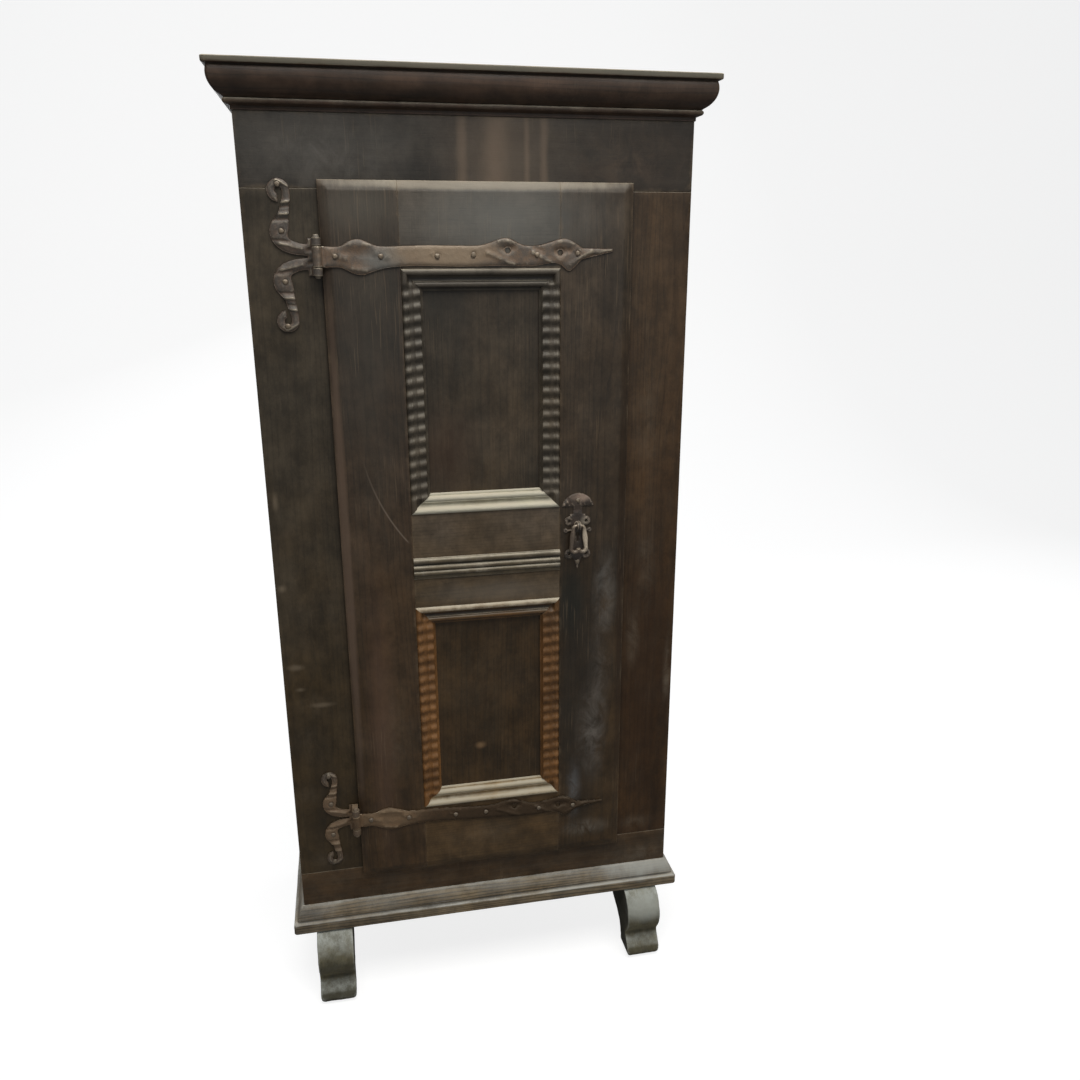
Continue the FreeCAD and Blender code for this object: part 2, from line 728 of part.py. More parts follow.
def panel_frame(z0, z1):
    """Four mitred mouldings round one panel; the upright ones are rippled."""
    x0, x1 = panel_left, panel_right
    w = frame_width
    profile = face(frame_profile(lambda across, rise: vec(x0, panel_front - rise, z1 - across)))
    top = profile.extrude(vec(x1 - x0, 0, 0))
    top = top.common(frame_mitre([(x0, z1), (x1, z1), (x1 - w, z1 - w), (x0 + w, z1 - w)]))
    bottom = top.mirror(vec(0, 0, (z0 + z1) / 2), Z)
    profile = face(frame_profile(lambda across, rise: vec(x0 + across, panel_front - rise, z0)))
    side = profile.extrude(vec(0, 0, z1 - z0))
    side = side.common(frame_mitre([(x0, z0), (x0 + w, z0 + w), (x0 + w, z1 - w), (x0, z1)]))
    slope = math.atan2(frame_rise - frame_edge_rise, w)
    along = vec(math.cos(slope), math.sin(slope), 0)
    count = int((z1 - z0 - 2 * w) / ripple_pitch)
    first = (z0 + z1) / 2 - (count - 1) * ripple_pitch / 2
    grooves = []
    for index in range(count):
        start = vec(x0, panel_front - frame_rise - ripple_radius + ripple_depth,
                    first + index * ripple_pitch)
        grooves.append(rod(ripple_radius, start - along * w, along, 3 * w))
    side = side.cut(Part.makeCompound(grooves))
    other = side.mirror(vec((x0 + x1) / 2, 0, 0), X)
    return top, bottom, Part.makeCompound([side, other])


def build_door_mouldings():
    for name, z0, z1 in (("upper_moulding", upper_panel_bottom, upper_panel_top),
                         ("lower_moulding", lower_panel_bottom, lower_panel_top)):
        top, bottom, sides = panel_frame(z0, z1)
        parts[name + "_top"] = top
        parts[name + "_bottom"] = bottom
        parts[name + "_sides"] = sides
    z1 = upper_panel_bottom - waist_moulding_drop
    z0 = z1 - waist_moulding_height
    bead = waist_moulding_height / 3
    edge = waist_moulding_edge

    def at(height, out):
        return vec(panel_left, door_front - out, z0 + height)

    edges = [line(at(waist_moulding_height, 0), at(0, 0)), line(at(0, 0), at(0, edge))]
    for index in range(3):
        edges.append(arc(at(index * bead, edge), at((index + 0.5) * bead, waist_moulding_rise),
                         at((index + 1) * bead, edge)))
    edges.append(line(at(waist_moulding_height, edge), at(waist_moulding_height, 0)))
    parts["waist_moulding"] = face(edges).extrude(vec(panel_right - panel_left, 0, 0))


# ---- strap hinges --------------------------------------------------------------------
def along_strap(distance):
    """Distance from the pivot of a place in the strap's outline, on a door of this width."""
    if distance <= strap_leaf_end:
        return distance
    stretch = (panel_right - pivot_x - strap_leaf_end) / (strap_span - strap_leaf_end)
    return strap_leaf_end + (distance - strap_leaf_end) * stretch


def strap(z, scale, droop):
    """A wrought strap with its knuckle. The scale is that of its heights, not its length."""
    def at(distance, height):
        return vec(pivot_x + along_strap(distance), door_front, z + height * scale)

    tip = strap_tip_length
    tip_top = at(tip, strap_tip_rise + strap_tip_height / 2)
    tip_bottom = at(tip, strap_tip_rise - strap_tip_height / 2)
    top_edge = spline([at(d, h) for d, h in strap_top])
    bottom_edge = spline([at(d, h) for d, h in strap_bottom])
    blade = face([top_edge, line(at(*strap_top[-1]), tip_top), line(tip_top, tip_bottom),
                  line(tip_bottom, at(*strap_bottom[0])), bottom_edge,
                  line(at(*strap_bottom[-1]), at(*strap_top[0]))])
    blade = blade.extrude(vec(0, -iron, 0))
    for distance, height in strap_eyes:
        blade = blade.cut(rod(strap_eye_radius * scale, at(distance, height) - Y * (iron + past), Y,
                              iron + 2 * past))
    blade.rotate(vec(pivot_x, door_front, z), Y, droop)
    low, high = knuckle_range(z, scale)
    for z0, z1 in ((high, high + knuckle_height), (low - knuckle_height, low)):
        blade = blade.cut(box(pivot_x - knuckle_height, pivot_x + knuckle_radius,
                              door_front - iron - past, door_front + past, z0, z1))
    knuckle = rod(knuckle_radius, vec(pivot_x, pivot_y, low), Z, high - low)
    return fused([blade, knuckle]).cut(pin_bore(low - knuckle_height, high + knuckle_height))


def knuckle_range(z, scale):
    """Lowest and highest level of the strap's own knuckle."""
    return z + strap_bottom[-1][1] * scale, z + strap_top[0][1] * scale


def pin_bore(z0, z1):
    return rod(hinge_pin_radius + pin_play, vec(pivot_x, pivot_y, z0), Z, z1 - z0)


def strap_point(z, scale, droop, distance, height):
    """Place of a point of the drooping strap, as x and z."""
    turn = math.radians(droop)
    d = along_strap(distance)
    h = height * scale
    return (pivot_x + d * math.cos(turn) + h * math.sin(turn),
            z - d * math.sin(turn) + h * math.cos(turn))


def forged_arm(z, scale, side):
    """One arm of the frame plate: a swelling leaf that ends in a scroll."""
    spine = [vec(pivot_x - d * scale, front, z + side * h * scale) for d, h, half in plate_arm]
    halves = [half * scale for d, h, half in plate_arm]
    left_edge = []
    right_edge = []
    for index, point in enumerate(spine):
        before = spine[max(index - 1, 0)]
        after = spine[min(index + 1, len(spine) - 1)]
        along = (after - before).normalize()
        across = Y.cross(along)
        left_edge.append(point + across * halves[index])
        right_edge.append(point - across * halves[index])
    right_edge.reverse()
    leaf = face([spline(left_edge), line(left_edge[-1], right_edge[0]), spline(right_edge),
                 line(right_edge[-1], left_edge[0])]).extrude(vec(0, -iron, 0))
    end = spine[-1]
    middle = end - X * plate_scroll_radius * scale
    bar = plate_scroll_bar * scale
    outer = rod(plate_scroll_radius * scale + bar, middle, -Y, iron)
    inner = rod(plate_scroll_radius * scale - bar, middle + Y * past, -Y, iron + 2 * past)
    scroll = outer.cut(inner)
    low, high = sorted((middle.z, middle.z - side * 2 * plate_scroll_radius * scale))
    gap = box(middle.x - plate_scroll_gap, end.x - bar, front - iron - past, front + past, low, high)
    return fused([leaf, scroll.cut(gap)])


def frame_plate(z, scale):
    """The plate nailed to the frame: two scrolled arms and two knuckles that hold the pin."""
    low, high = knuckle_range(z, scale)
    upper_knuckle = high + knuckle_gap
    lower_knuckle = low - knuckle_gap - knuckle_height
    neck_left = pivot_x - knuckle_neck
    neck_right = pivot_x + pivot_offset - plate_clearance
    root = box(pivot_x - plate_root * scale, neck_right, front - iron, front, lower_knuckle,
               upper_knuckle + knuckle_height)
    solids = [root]
    for side in (1, -1):
        solids.append(forged_arm(z, scale, side))
    for start in (lower_knuckle, upper_knuckle):
        solids.append(box(neck_left, neck_right, pivot_y, front, start, start + knuckle_height))
        solids.append(rod(knuckle_radius, vec(pivot_x, pivot_y, start), Z, knuckle_height))
    return fused(solids).cut(pin_bore(lower_knuckle - past, upper_knuckle + knuckle_height + past))


def hinge_pin(z, scale):
    """A pin with a head on the upper knuckle and its end spread under the lower one."""
    low, high = knuckle_range(z, scale)
    bottom = low - knuckle_gap - knuckle_height
    top = high + knuckle_gap + knuckle_height
    shank = rod(hinge_pin_radius, vec(pivot_x, pivot_y, bottom), Z, top - bottom)
    head = Part.makeCone(pin_head_radius, hinge_pin_radius, pin_head_height, vec(pivot_x, pivot_y, top), Z)
    foot = Part.makeCone(hinge_pin_radius, pin_foot_radius, pin_foot_height,
                         vec(pivot_x, pivot_y, bottom - pin_foot_height), Z)
    return fused([shank, head, foot])


def build_hinges():
    """Both hinges, and the places of the nails that hold them."""
    door_points = []
    frame_points = []
    pins = []
    for name, z, scale, droop in (("upper", upper_hinge_z, 1.0, 0.0),
                                  ("lower", lower_hinge_z, lower_hinge_scale, lower_strap_droop)):
        parts["strap_hinge_" + name] = strap(z, scale, droop)
        parts["hinge_plate_" + name] = frame_plate(z, scale)
        pins.append(hinge_pin(z, scale))
        for distance, height in strap_nails:
            door_points.append(strap_point(z, scale, droop, distance, height))
        for distance, height in plate_nails:
            frame_points.append((pivot_x - distance * scale, z + height * scale))
            frame_points.append((pivot_x - distance * scale, z - height * scale))
    parts["hinge_pins"] = Part.makeCompound(pins)
    return door_points, frame_points


# ---- lock plate, pull and lock -------------------------------------------------------
def keyhole(y0, y1):
    slot = box(plate_x - keyhole_slot_width / 2, plate_x + keyhole_slot_width / 2, y0, y1,
               keyhole_z - keyhole_slot_drop, keyhole_z)
    return fused([rod(keyhole_radius, vec(plate_x, y0, keyhole_z), Y, y1 - y0), slot])


def build_lock_plate():
    """A pierced plate: fan above, waisted body with lobes and twigs at its sides, and a tail."""
    y = lock_plate_front
    t = lock_plate_thickness
    half = lock_plate_height / 2

    def disc(x, z, radius):
        return rod(radius, vec(plate_x + x, y, plate_z + z), Y, t)

    def slab(points):
        return polygon(front_outline([(plate_x + x, plate_z + z) for x, z in points], y)).extrude(Y * t)

    def both_sides(points):
        return slab(points + [(-x, z) for x, z in reversed(points)])

    fan = disc(0, half - lock_plate_fan_radius, lock_plate_fan_radius)
    above = box(plate_x - half, plate_x + half, y, y + t, plate_z + lock_plate_fan_base, plate_z + half)
    twig_out, twig_z, twig_radius = lock_plate_twig
    pieces = [fan.common(above),
              both_sides([(lock_plate_neck, lock_plate_shoulder - past),
                          (lock_plate_neck, lock_plate_fan_base + past)]),
              both_sides([(lock_plate_body, -lock_plate_foot), (lock_plate_waist, twig_z),
                          (lock_plate_body, lock_plate_shoulder)]),
              both_sides([(twig_out, twig_z - twig_radius / 2), (twig_out, twig_z + twig_radius / 2)]),
              slab([(lock_plate_neck, past - lock_plate_foot), (-lock_plate_neck, past - lock_plate_foot),
                    (0, -half)])]
    eyes = []
    for side in (1, -1):
        pieces.append(disc(side * twig_out, twig_z, twig_radius))
        for out, height, radius in lock_plate_lobes:
            pieces.append(disc(side * out, height, radius))
            eyes.append(rod(lock_plate_eye, vec(plate_x + side * out, y - past, plate_z + height), Y,
                            t + 2 * past))

    def shank_hole(y0, y1):
        return rod(pull_shank_radius + pin_play, vec(plate_x, y0, pull_z), Y, y1 - y0)

    plate = fused(pieces).cut(Part.makeCompound(eyes))
    plate = plate.cut(keyhole(y - past, door_front + past))
    parts["lock_plate"] = plate.cut(shank_hole(y - past, door_front + past))
    cut_holes(["door_stile_lock", "door_rail_middle"],
              [shank_hole(door_front - past, door_back + past),
               keyhole(door_front - past, door_back + past)])


def build_pull():
    """The staple that carries the pull, and the heart-shaped drop that swings in its eye."""
    eye = rod(pull_eye_radius, vec(plate_x - pull_eye_width / 2, pull_y, pull_z), X, pull_eye_width)
    shank = rod(pull_shank_radius, vec(plate_x, pull_y, pull_z), Y, door_back + pull_shank_end - pull_y)
    rose = rod(pull_rose_radius, vec(plate_x, lock_plate_front - pull_rose_height, pull_z), Y,
               pull_rose_height)
    bore = rod(pull_bar_radius + pin_play, vec(plate_x - pull_eye_width, pull_y, pull_z), X,
               2 * pull_eye_width)
    parts["pull_post"] = fused([eye, shank, rose]).cut(bore)

    corner = (pull_bar_half, -pull_corner_radius)
    lobe = (pull_lobe_radius, -pull_drop)
    dx = lobe[0] - corner[0]
    dz = lobe[1] - corner[1]
    distance = math.hypot(dx, dz)
    normal = math.atan2(dz, dx) + math.acos((pull_corner_radius - pull_lobe_radius) / distance)

    def on(centre, radius, angle):
        return vec(plate_x + centre[0] + radius * math.cos(angle), pull_y,
                   pull_z + centre[1] + radius * math.sin(angle))

    def bent(centre, radius, start, end, section):
        """A round bar bent along an arc."""
        first = on(centre, radius, start)
        path = arc(first, on(centre, radius, (start + end) / 2), on(centre, radius, end))
        direction = vec(-math.sin(start), 0, math.cos(start)) * (-1 if end < start else 1)
        circle = Part.Wire(Part.makeCircle(section, first, direction))
        return Part.Wire(path).makePipeShell([circle], True, False)

    corner_end = on(corner, pull_corner_radius, normal)
    lobe_start = on(lobe, pull_lobe_radius, normal)
    limb = lobe_start - corner_end
    half = [rod(pull_bar_radius, vec(plate_x, pull_y, pull_z), X, pull_bar_half),
            bent(corner, pull_corner_radius, math.pi / 2, normal, pull_bar_radius),
            Part.makeCone(pull_bar_radius, pull_limb_radius, limb.Length, corner_end, limb),
            bent(lobe, pull_lobe_radius, normal, -math.pi, pull_limb_radius)]
    half = fused(half)
    other = half.mirror(vec(plate_x, 0, 0), X)
    parts["pull_ring"] = fused([half, other])


def build_lock():
    """Iron lock behind the door: open-fronted case, sliding bolt, leaf spring, and the keeper."""
    x0 = plate_x - lock_case_left
    x1 = lock_case_right
    z0 = lock_case_bottom
    z1 = z0 + lock_case_height
    s = lock_sheet
    y1 = bolt_back + lock_case_room + s
    case = box(x0, x1, door_back, y1, z0, z1)
    case = case.cut(box(x0 + s, x1 - s, door_back, y1 - s, z0 + s, z1 - s))
    slot = box(x1 - s - past, x1 + past, bolt_front - bolt_play, bolt_back + bolt_play,
               bolt_bottom - bolt_play, bolt_top + bolt_play)
    parts["lock_case"] = case.cut(slot)
    bolt = box(x0 + s + bolt_throw, x1 + bolt_stand, bolt_front, bolt_back, bolt_bottom, bolt_top)
    notch = box(plate_x - bolt_notch_width / 2, plate_x + bolt_notch_width / 2, bolt_front, bolt_back,
                bolt_bottom, bolt_bottom + bolt_notch_depth)
    parts["lock_bolt"] = bolt.cut(notch)

    spring_y = bolt_front + (bolt_thickness - spring_width) / 2
    start = vec(x0 + s, spring_y, bolt_top + spring_bow)
    end = vec(x1 - spring_setback, spring_y, bolt_top + spring_bow)
    low = vec((start.x + end.x) / 2, spring_y, bolt_top + bolt_play)
    lift = vec(0, 0, spring_thickness)
    leaf = face([arc(start, low, end), line(end, end + lift), arc(end + lift, low + lift, start + lift),
                 line(start + lift, start)])
    parts["lock_spring"] = leaf.extrude(vec(0, spring_width, 0))

    k0 = doorway_right + keeper_offset
    k1 = k0 + keeper_width
    jamb_back = front + board
    w = keeper_wall
    r0 = bolt_bottom - keeper_play
    r1 = bolt_top + keeper_play
    depth = bolt_back + keeper_play
    room = box(k0 - past, k1 - w, jamb_back, depth, r0, r1)
    bridge = box(k0, k1, jamb_back, depth + w, r0 - w, r1 + w)
    tabs = box(k0, k1, jamb_back, jamb_back + w, r0 - w - keeper_tab, r1 + w + keeper_tab)
    parts["keeper"] = fused([bridge, tabs]).cut(room)


# ---- nails of the ironwork -----------------------------------------------------------
def build_nails(door_points, frame_points):
    points = [(x, door_front - iron, z) for x, z in door_points]
    points += [(plate_x + x, lock_plate_front, plate_z + z) for x, z in lock_plate_nails]
    parts["door_nails"] = Part.makeCompound([nail(x, y, z, nail_length) for x, y, z in points])
    hole_length = nail_length + past + fit_gap
    holes = [nail_hole(x, y - past, z, hole_length) for x, y, z in points]
    cut_holes(["strap_hinge_upper", "strap_hinge_lower", "lock_plate", "door_stile_hinge",
               "door_stile_lock", "door_rail_top", "door_rail_middle", "door_rail_bottom"], holes)

    nails = [nail(x, front - iron, z, nail_length) for x, z in frame_points]
    holes = [nail_hole(x, front - iron - past, z, hole_length) for x, z in frame_points]
    cut_holes(["hinge_plate_upper", "hinge_plate_lower", "front_stile_left", "frieze_rail",
               "bottom_rail"], holes)

    step = (post_right - post_left + back_board_gap) / back_board_count
    holes = []
    for index in range(back_board_count):
        for share in (back_nail_share, 1 - back_nail_share):
            x = post_left + (index + share) * step
            for z0, z1 in back_rail_levels():
                z = (z0 + z1) / 2
                back_nail = nail(x, -back, z, nail_length)
                back_hole = nail_hole(x, -back - past, z, hole_length)
                nails.append(back_nail.mirror(vec(0, 0, 0), Y))
                holes.append(back_hole.mirror(vec(0, 0, 0), Y))
    cut_holes(["back_boards", "back_rails"], holes)
    parts["frame_nails"] = Part.makeCompound(nails)


def main():
    os.makedirs("parts", exist_ok=True)
    build_front_frame()
    build_side_frames()
    build_back()
    build_inside()
    build_mouldings()
    build_feet()
    build_door_leaf()
    build_door_mouldings()
    door_points, frame_points = build_hinges()
    build_lock_plate()
    build_pull()
    build_lock()
    build_nails(door_points, frame_points)
    for name, shape in parts.items():
        shape.exportStep("parts/" + name + ".step")


main()
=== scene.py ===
"""Looks of an oak bonnetiere: worn timber, planted mouldings and forged ironwork around its construction.

Points are worked out in millimetres in the part's own frame: +Z up, the front looks along -Y.
"""

import math
import random

import bmesh
import bpy
import numpy as np
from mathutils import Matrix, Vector, kdtree, noise


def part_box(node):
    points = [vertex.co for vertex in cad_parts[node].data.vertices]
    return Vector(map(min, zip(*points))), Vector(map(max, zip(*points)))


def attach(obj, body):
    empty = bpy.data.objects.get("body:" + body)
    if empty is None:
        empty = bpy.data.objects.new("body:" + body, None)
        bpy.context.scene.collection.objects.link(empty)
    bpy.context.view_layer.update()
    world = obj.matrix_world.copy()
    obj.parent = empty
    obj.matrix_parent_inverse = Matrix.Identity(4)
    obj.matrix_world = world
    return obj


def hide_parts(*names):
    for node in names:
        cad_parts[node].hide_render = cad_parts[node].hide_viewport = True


bl_info = {
    "name": "Bonnetiere Cabinet",
    "version": (1, 0, 0),
    "blender": (4, 5, 0),
    "location": "3D View > Sidebar > Bonnetiere",
    "description": "Worn oak, planted mouldings and forged ironwork of a one-door bonnetiere",
    "category": "Add Mesh",
}

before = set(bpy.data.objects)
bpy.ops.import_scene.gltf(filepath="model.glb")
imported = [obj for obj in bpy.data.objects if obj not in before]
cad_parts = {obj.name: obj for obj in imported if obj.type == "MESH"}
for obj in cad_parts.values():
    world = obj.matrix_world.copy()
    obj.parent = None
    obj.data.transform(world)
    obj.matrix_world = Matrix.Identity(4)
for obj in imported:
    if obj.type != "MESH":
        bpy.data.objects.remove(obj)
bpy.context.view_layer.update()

MM = 0.001
CHANCE = random.Random(1740)       # the log that each timber was cut from


# ---- places taken from the construction ------------------------------------------------
def corners(node):
    """Lowest and highest corner of a construction node, in millimetres."""
    low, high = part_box(node)
    return np.array(low) / MM, np.array(high) / MM


FRIEZE_LOW, FRIEZE_HIGH = corners("frieze_rail")
BOTTOM_LOW, BOTTOM_HIGH = corners("bottom_rail")
LEFT, FRONT, DOORWAY_TOP = FRIEZE_LOW
RIGHT, FRAME_BACK, BODY_TOP = FRIEZE_HIGH
BODY_BOTTOM = BOTTOM_LOW[2]
DOORWAY_BOTTOM = BOTTOM_HIGH[2]
BACK = corners("back_boards")[1][1]
DOORWAY_LEFT = corners("front_stile_left")[1][0]
DOORWAY_RIGHT = corners("front_stile_right")[0][0]
DOOR_LOW = corners("door_stile_hinge")[0]
DOOR_HIGH = corners("door_stile_lock")[1]
OPENING_LEFT = corners("door_stile_hinge")[1][0]
OPENING_RIGHT = corners("door_stile_lock")[0][0]
PANEL_FACE = corners("door_panel_upper")[0][1]
LIP_BACK = FRONT - 0.6
FRAME_LEVELS = {name: (corners(name + "_moulding_sides")[0][2], corners(name + "_moulding_sides")[1][2])
                for name in ("upper", "lower")}
CORNICE_OUT = LEFT - corners("cornice_left")[0][0]
CORNICE_HEIGHT = corners("cornice_front")[1][2] - BODY_TOP
CORNICE_IN = corners("cornice_front")[1][1] - FRONT
BASE_BOTTOM = corners("base_moulding_front")[0][2]
BASE_OUT = LEFT - corners("base_moulding_left")[0][0]
BASE_IN = corners("base_moulding_front")[1][1] - FRONT
BASE_HEIGHT = BODY_BOTTOM - BASE_BOTTOM
POST_FRONT = corners("rear_post_left")[0][1]
POST_LEFT = corners("rear_post_left")[1][0]
SIDE_FRAME_FRONT = corners("side_stile_left")[1][1]
PIVOT_X = (corners("hinge_pins")[0][0] + corners("hinge_pins")[1][0]) / 2


def srgb(red, green, blue):
    """A colour as a painter would read it off, turned into light values."""
    values = [value / 255 for value in (red, green, blue)]
    return tuple(v / 12.92 if v <= 0.04045 else ((v + 0.055) / 1.055) ** 2.4 for v in values)


# ---- what a user may change ------------------------------------------------------------
class BonnetiereSizes(bpy.types.PropertyGroup):
    """Sizes of the worn and moulded surfaces."""
    timber_edge: bpy.props.FloatProperty(
        name="Timber edge", description="Radius worn onto the edges of the carcass timbers",
        default=2.2 * MM, min=0.2 * MM, max=6 * MM, unit="LENGTH", subtype="DISTANCE")
    joint_edge: bpy.props.FloatProperty(
        name="Joint edge", description="Radius along the joints of the door's timbers",
        default=0.9 * MM, min=0.2 * MM, max=3 * MM, unit="LENGTH", subtype="DISTANCE")
    bevel_width: bpy.props.FloatProperty(
        name="Door bevel width", description="Width of the bevel round the door",
        default=18 * MM, min=4 * MM, max=40 * MM, unit="LENGTH", subtype="DISTANCE")
    bevel_depth: bpy.props.FloatProperty(
        name="Door bevel depth", description="How far the bevel falls back at the door's edge",
        default=7 * MM, min=1 * MM, max=12 * MM, unit="LENGTH", subtype="DISTANCE")
    door_lap: bpy.props.FloatProperty(
        name="Door lap", description="Width of the lip behind which the door fills the doorway",
        default=16 * MM, min=4 * MM, max=30 * MM, unit="LENGTH", subtype="DISTANCE")
    moulding_width: bpy.props.FloatProperty(
        name="Panel moulding width", description="Width of the mouldings round the door panels",
        default=38 * MM, min=20 * MM, max=60 * MM, unit="LENGTH", subtype="DISTANCE")
    ripple_pitch: bpy.props.FloatProperty(
        name="Ripple pitch", description="Distance between the cuts of the rippled mouldings",
        default=22 * MM, min=8 * MM, max=40 * MM, unit="LENGTH", subtype="DISTANCE")
    ripple_depth: bpy.props.FloatProperty(
        name="Ripple depth", description="Depth of the cuts of the rippled mouldings",
        default=6.6 * MM, min=1 * MM, max=9 * MM, unit="LENGTH", subtype="DISTANCE")
    hammer_depth: bpy.props.FloatProperty(
        name="Hammer marks", description="Depth of the hammer marks on the ironwork",
        default=0.45 * MM, min=0.0, max=1.5 * MM, unit="LENGTH", subtype="DISTANCE")


class BonnetiereColours(bpy.types.PropertyGroup):
    """Colours of the finishes."""
    oak_dark: bpy.props.FloatVectorProperty(
        name="Oak, dark", description="Dark streaks of the waxed oak", subtype="COLOR",
        size=3, min=0, max=1, default=srgb(38, 30, 24))
    oak_light: bpy.props.FloatVectorProperty(
        name="Oak, light", description="Light streaks of the waxed oak", subtype="COLOR",
        size=3, min=0, max=1, default=srgb(74, 59, 46))
    oak_worn: bpy.props.FloatVectorProperty(
        name="Oak, worn", description="Edges and crests where the wax has worn off", subtype="COLOR",
        size=3, min=0, max=1, default=srgb(140, 118, 92))
    oak_inner: bpy.props.FloatVectorProperty(
        name="Oak, inside", description="Unwaxed oak inside and behind", subtype="COLOR",
        size=3, min=0, max=1, default=srgb(112, 88, 62))
    dust: bpy.props.FloatVectorProperty(
        name="Dust", description="Dust and old lime on upward surfaces", subtype="COLOR",
        size=3, min=0, max=1, default=srgb(176, 168, 150))
    iron: bpy.props.FloatVectorProperty(
        name="Iron", description="Dark skin of the forged iron", subtype="COLOR",
        size=3, min=0, max=1, default=srgb(62, 54, 47))
    rust: bpy.props.FloatVectorProperty(
        name="Rust", description="Old rust in the iron's hollows", subtype="COLOR",
        size=3, min=0, max=1, default=srgb(92, 60, 42))


class BonnetiereStage(bpy.types.PropertyGroup):
    """Camera, lights and floor."""
    camera_place: bpy.props.FloatVectorProperty(
        name="Camera", description="Place of the camera", default=(-0.2398, -1.9218, 1.5386),
        unit="LENGTH", subtype="TRANSLATION")
    camera_turn: bpy.props.FloatProperty(
        name="Camera turn", description="Turn of the camera to the right", default=math.radians(11.6),
        unit="ROTATION", subtype="ANGLE")
    camera_tilt: bpy.props.FloatProperty(
        name="Camera tilt", description="Tilt of the camera below the level", default=math.radians(17.1),
        unit="ROTATION", subtype="ANGLE")
    camera_roll: bpy.props.FloatProperty(
        name="Camera roll", description="Roll of the camera", default=math.radians(0.15),
        unit="ROTATION", subtype="ANGLE")
    camera_lens: bpy.props.FloatProperty(
        name="Lens", description="Focal length on a 36 mm wide sensor, in millimetres",
        default=31.01, min=10, max=200)
    key_power: bpy.props.FloatProperty(
        name="Key light", description="Power of the soft light overhead", default=76.0, min=0,
        unit="POWER")
    fill_power: bpy.props.FloatProperty(
        name="Fill light", description="Power of the soft light before the front", default=19.0, min=0,
        unit="POWER")
    back_power: bpy.props.FloatProperty(
        name="Back light", description="Power of the soft lights behind and beside the back", default=50.0,
        min=0, unit="POWER")


# ---- meshes ----------------------------------------------------------------------------
ALONG = {"X": (1, 2, 0), "Y": (0, 2, 1), "Z": (0, 1, 2)}       # axes turned so that the grain comes last
PLANES = {"front": (0, 2, 1), "side": (1, 2, 0), "flat": (0, 1, 2)}   # across, up, thickness


def unevenness(points, size, seed=0.0):
    """Smooth noise from -1 to 1 at each point, with swellings about as long as the size."""
    shift = Vector((seed, seed * 1.7, seed * 0.3))
    flat = np.asarray(points, float).reshape(-1, 3) / size
    values = [noise.noise(Vector(point) + shift) for point in flat]
    return np.array(values).reshape(np.shape(points)[:-1])


def quarter_round(distance, radius):
    """How far a surface falls away near a rounded edge."""
    inside = np.clip(1 - distance / radius, 0, 1)
    return radius * (1 - np.sqrt(np.clip(1 - inside**2, 0, 1)))


class Piece:
    """The surfaces of one piece, gathered before they become one mesh."""

    def __init__(self, name):
        self.name = name
        self.points = []
        self.faces = []
        self.wear = []
        self.wood = []
        self.count = 0

    def add(self, points, faces, wear, grain):
        """Adds a closed surface. Wear is 1 on exposed edges and -1 in hollows."""
        points = np.asarray(points, float).reshape(-1, 3)
        log = np.array([CHANCE.uniform(-60, 60), CHANCE.uniform(30, 110), CHANCE.uniform(0, 4000)])
        wood = (points - points.mean(0))[:, ALONG[grain]]
        wood[:, 0] += wood[:, 2] * CHANCE.uniform(-0.02, 0.02)
        self.wood.append((wood + log) * MM)
        self.points.append(points)
        self.wear.append(np.asarray(wear, float).ravel())
        self.faces += [[index + self.count for index in face] for face in faces]
        self.count += len(points)

    def made(self, finish, body, slot, *nodes, sharp=38):
        """The finished object, riding on its body in place of the named construction nodes."""
        mesh = bpy.data.meshes.new(self.name)
        mesh.from_pydata((np.concatenate(self.points) * MM).tolist(), [], self.faces)
        build = bmesh.new()
        build.from_mesh(mesh)
        bmesh.ops.recalc_face_normals(build, faces=build.faces)
        build.to_mesh(mesh)
        build.free()
        set_surface(mesh, np.concatenate(self.wood), np.concatenate(self.wear))
        mesh.shade_smooth()
        mesh.set_sharp_from_angle(angle=math.radians(sharp))
        return placed(self.name, mesh, finish, body, slot, *nodes)


def set_surface(mesh, wood, wear):
    """Stores where each point lay in its log, and how exposed it is."""
    mesh.attributes.new("wood", "FLOAT_VECTOR", "POINT").data.foreach_set("vector", wood.ravel())
    mesh.attributes.new("wear", "FLOAT", "POINT").data.foreach_set("value", wear)


def placed(name, mesh, finish, body, slot, *nodes):
    obj = bpy.data.objects.new(name, mesh)
    bpy.context.scene.collection.objects.link(obj)
    obj.data.materials.append(finish)
    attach(obj, body)
    if nodes:
        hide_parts(*nodes)
    return obj


def grid_lines(low, high, step, edge, extra=()):
    """Places of grid lines: close together on the rounded edges, about a step apart between."""
    count = max(2, round((high - low - 2 * edge) / step) + 1)
    near = np.array([0, 0.15, 0.45]) * edge
    lines = np.concatenate((low + near, np.linspace(low + edge, high - edge, count), high - near, extra))
    return np.unique(np.round(lines, 3))


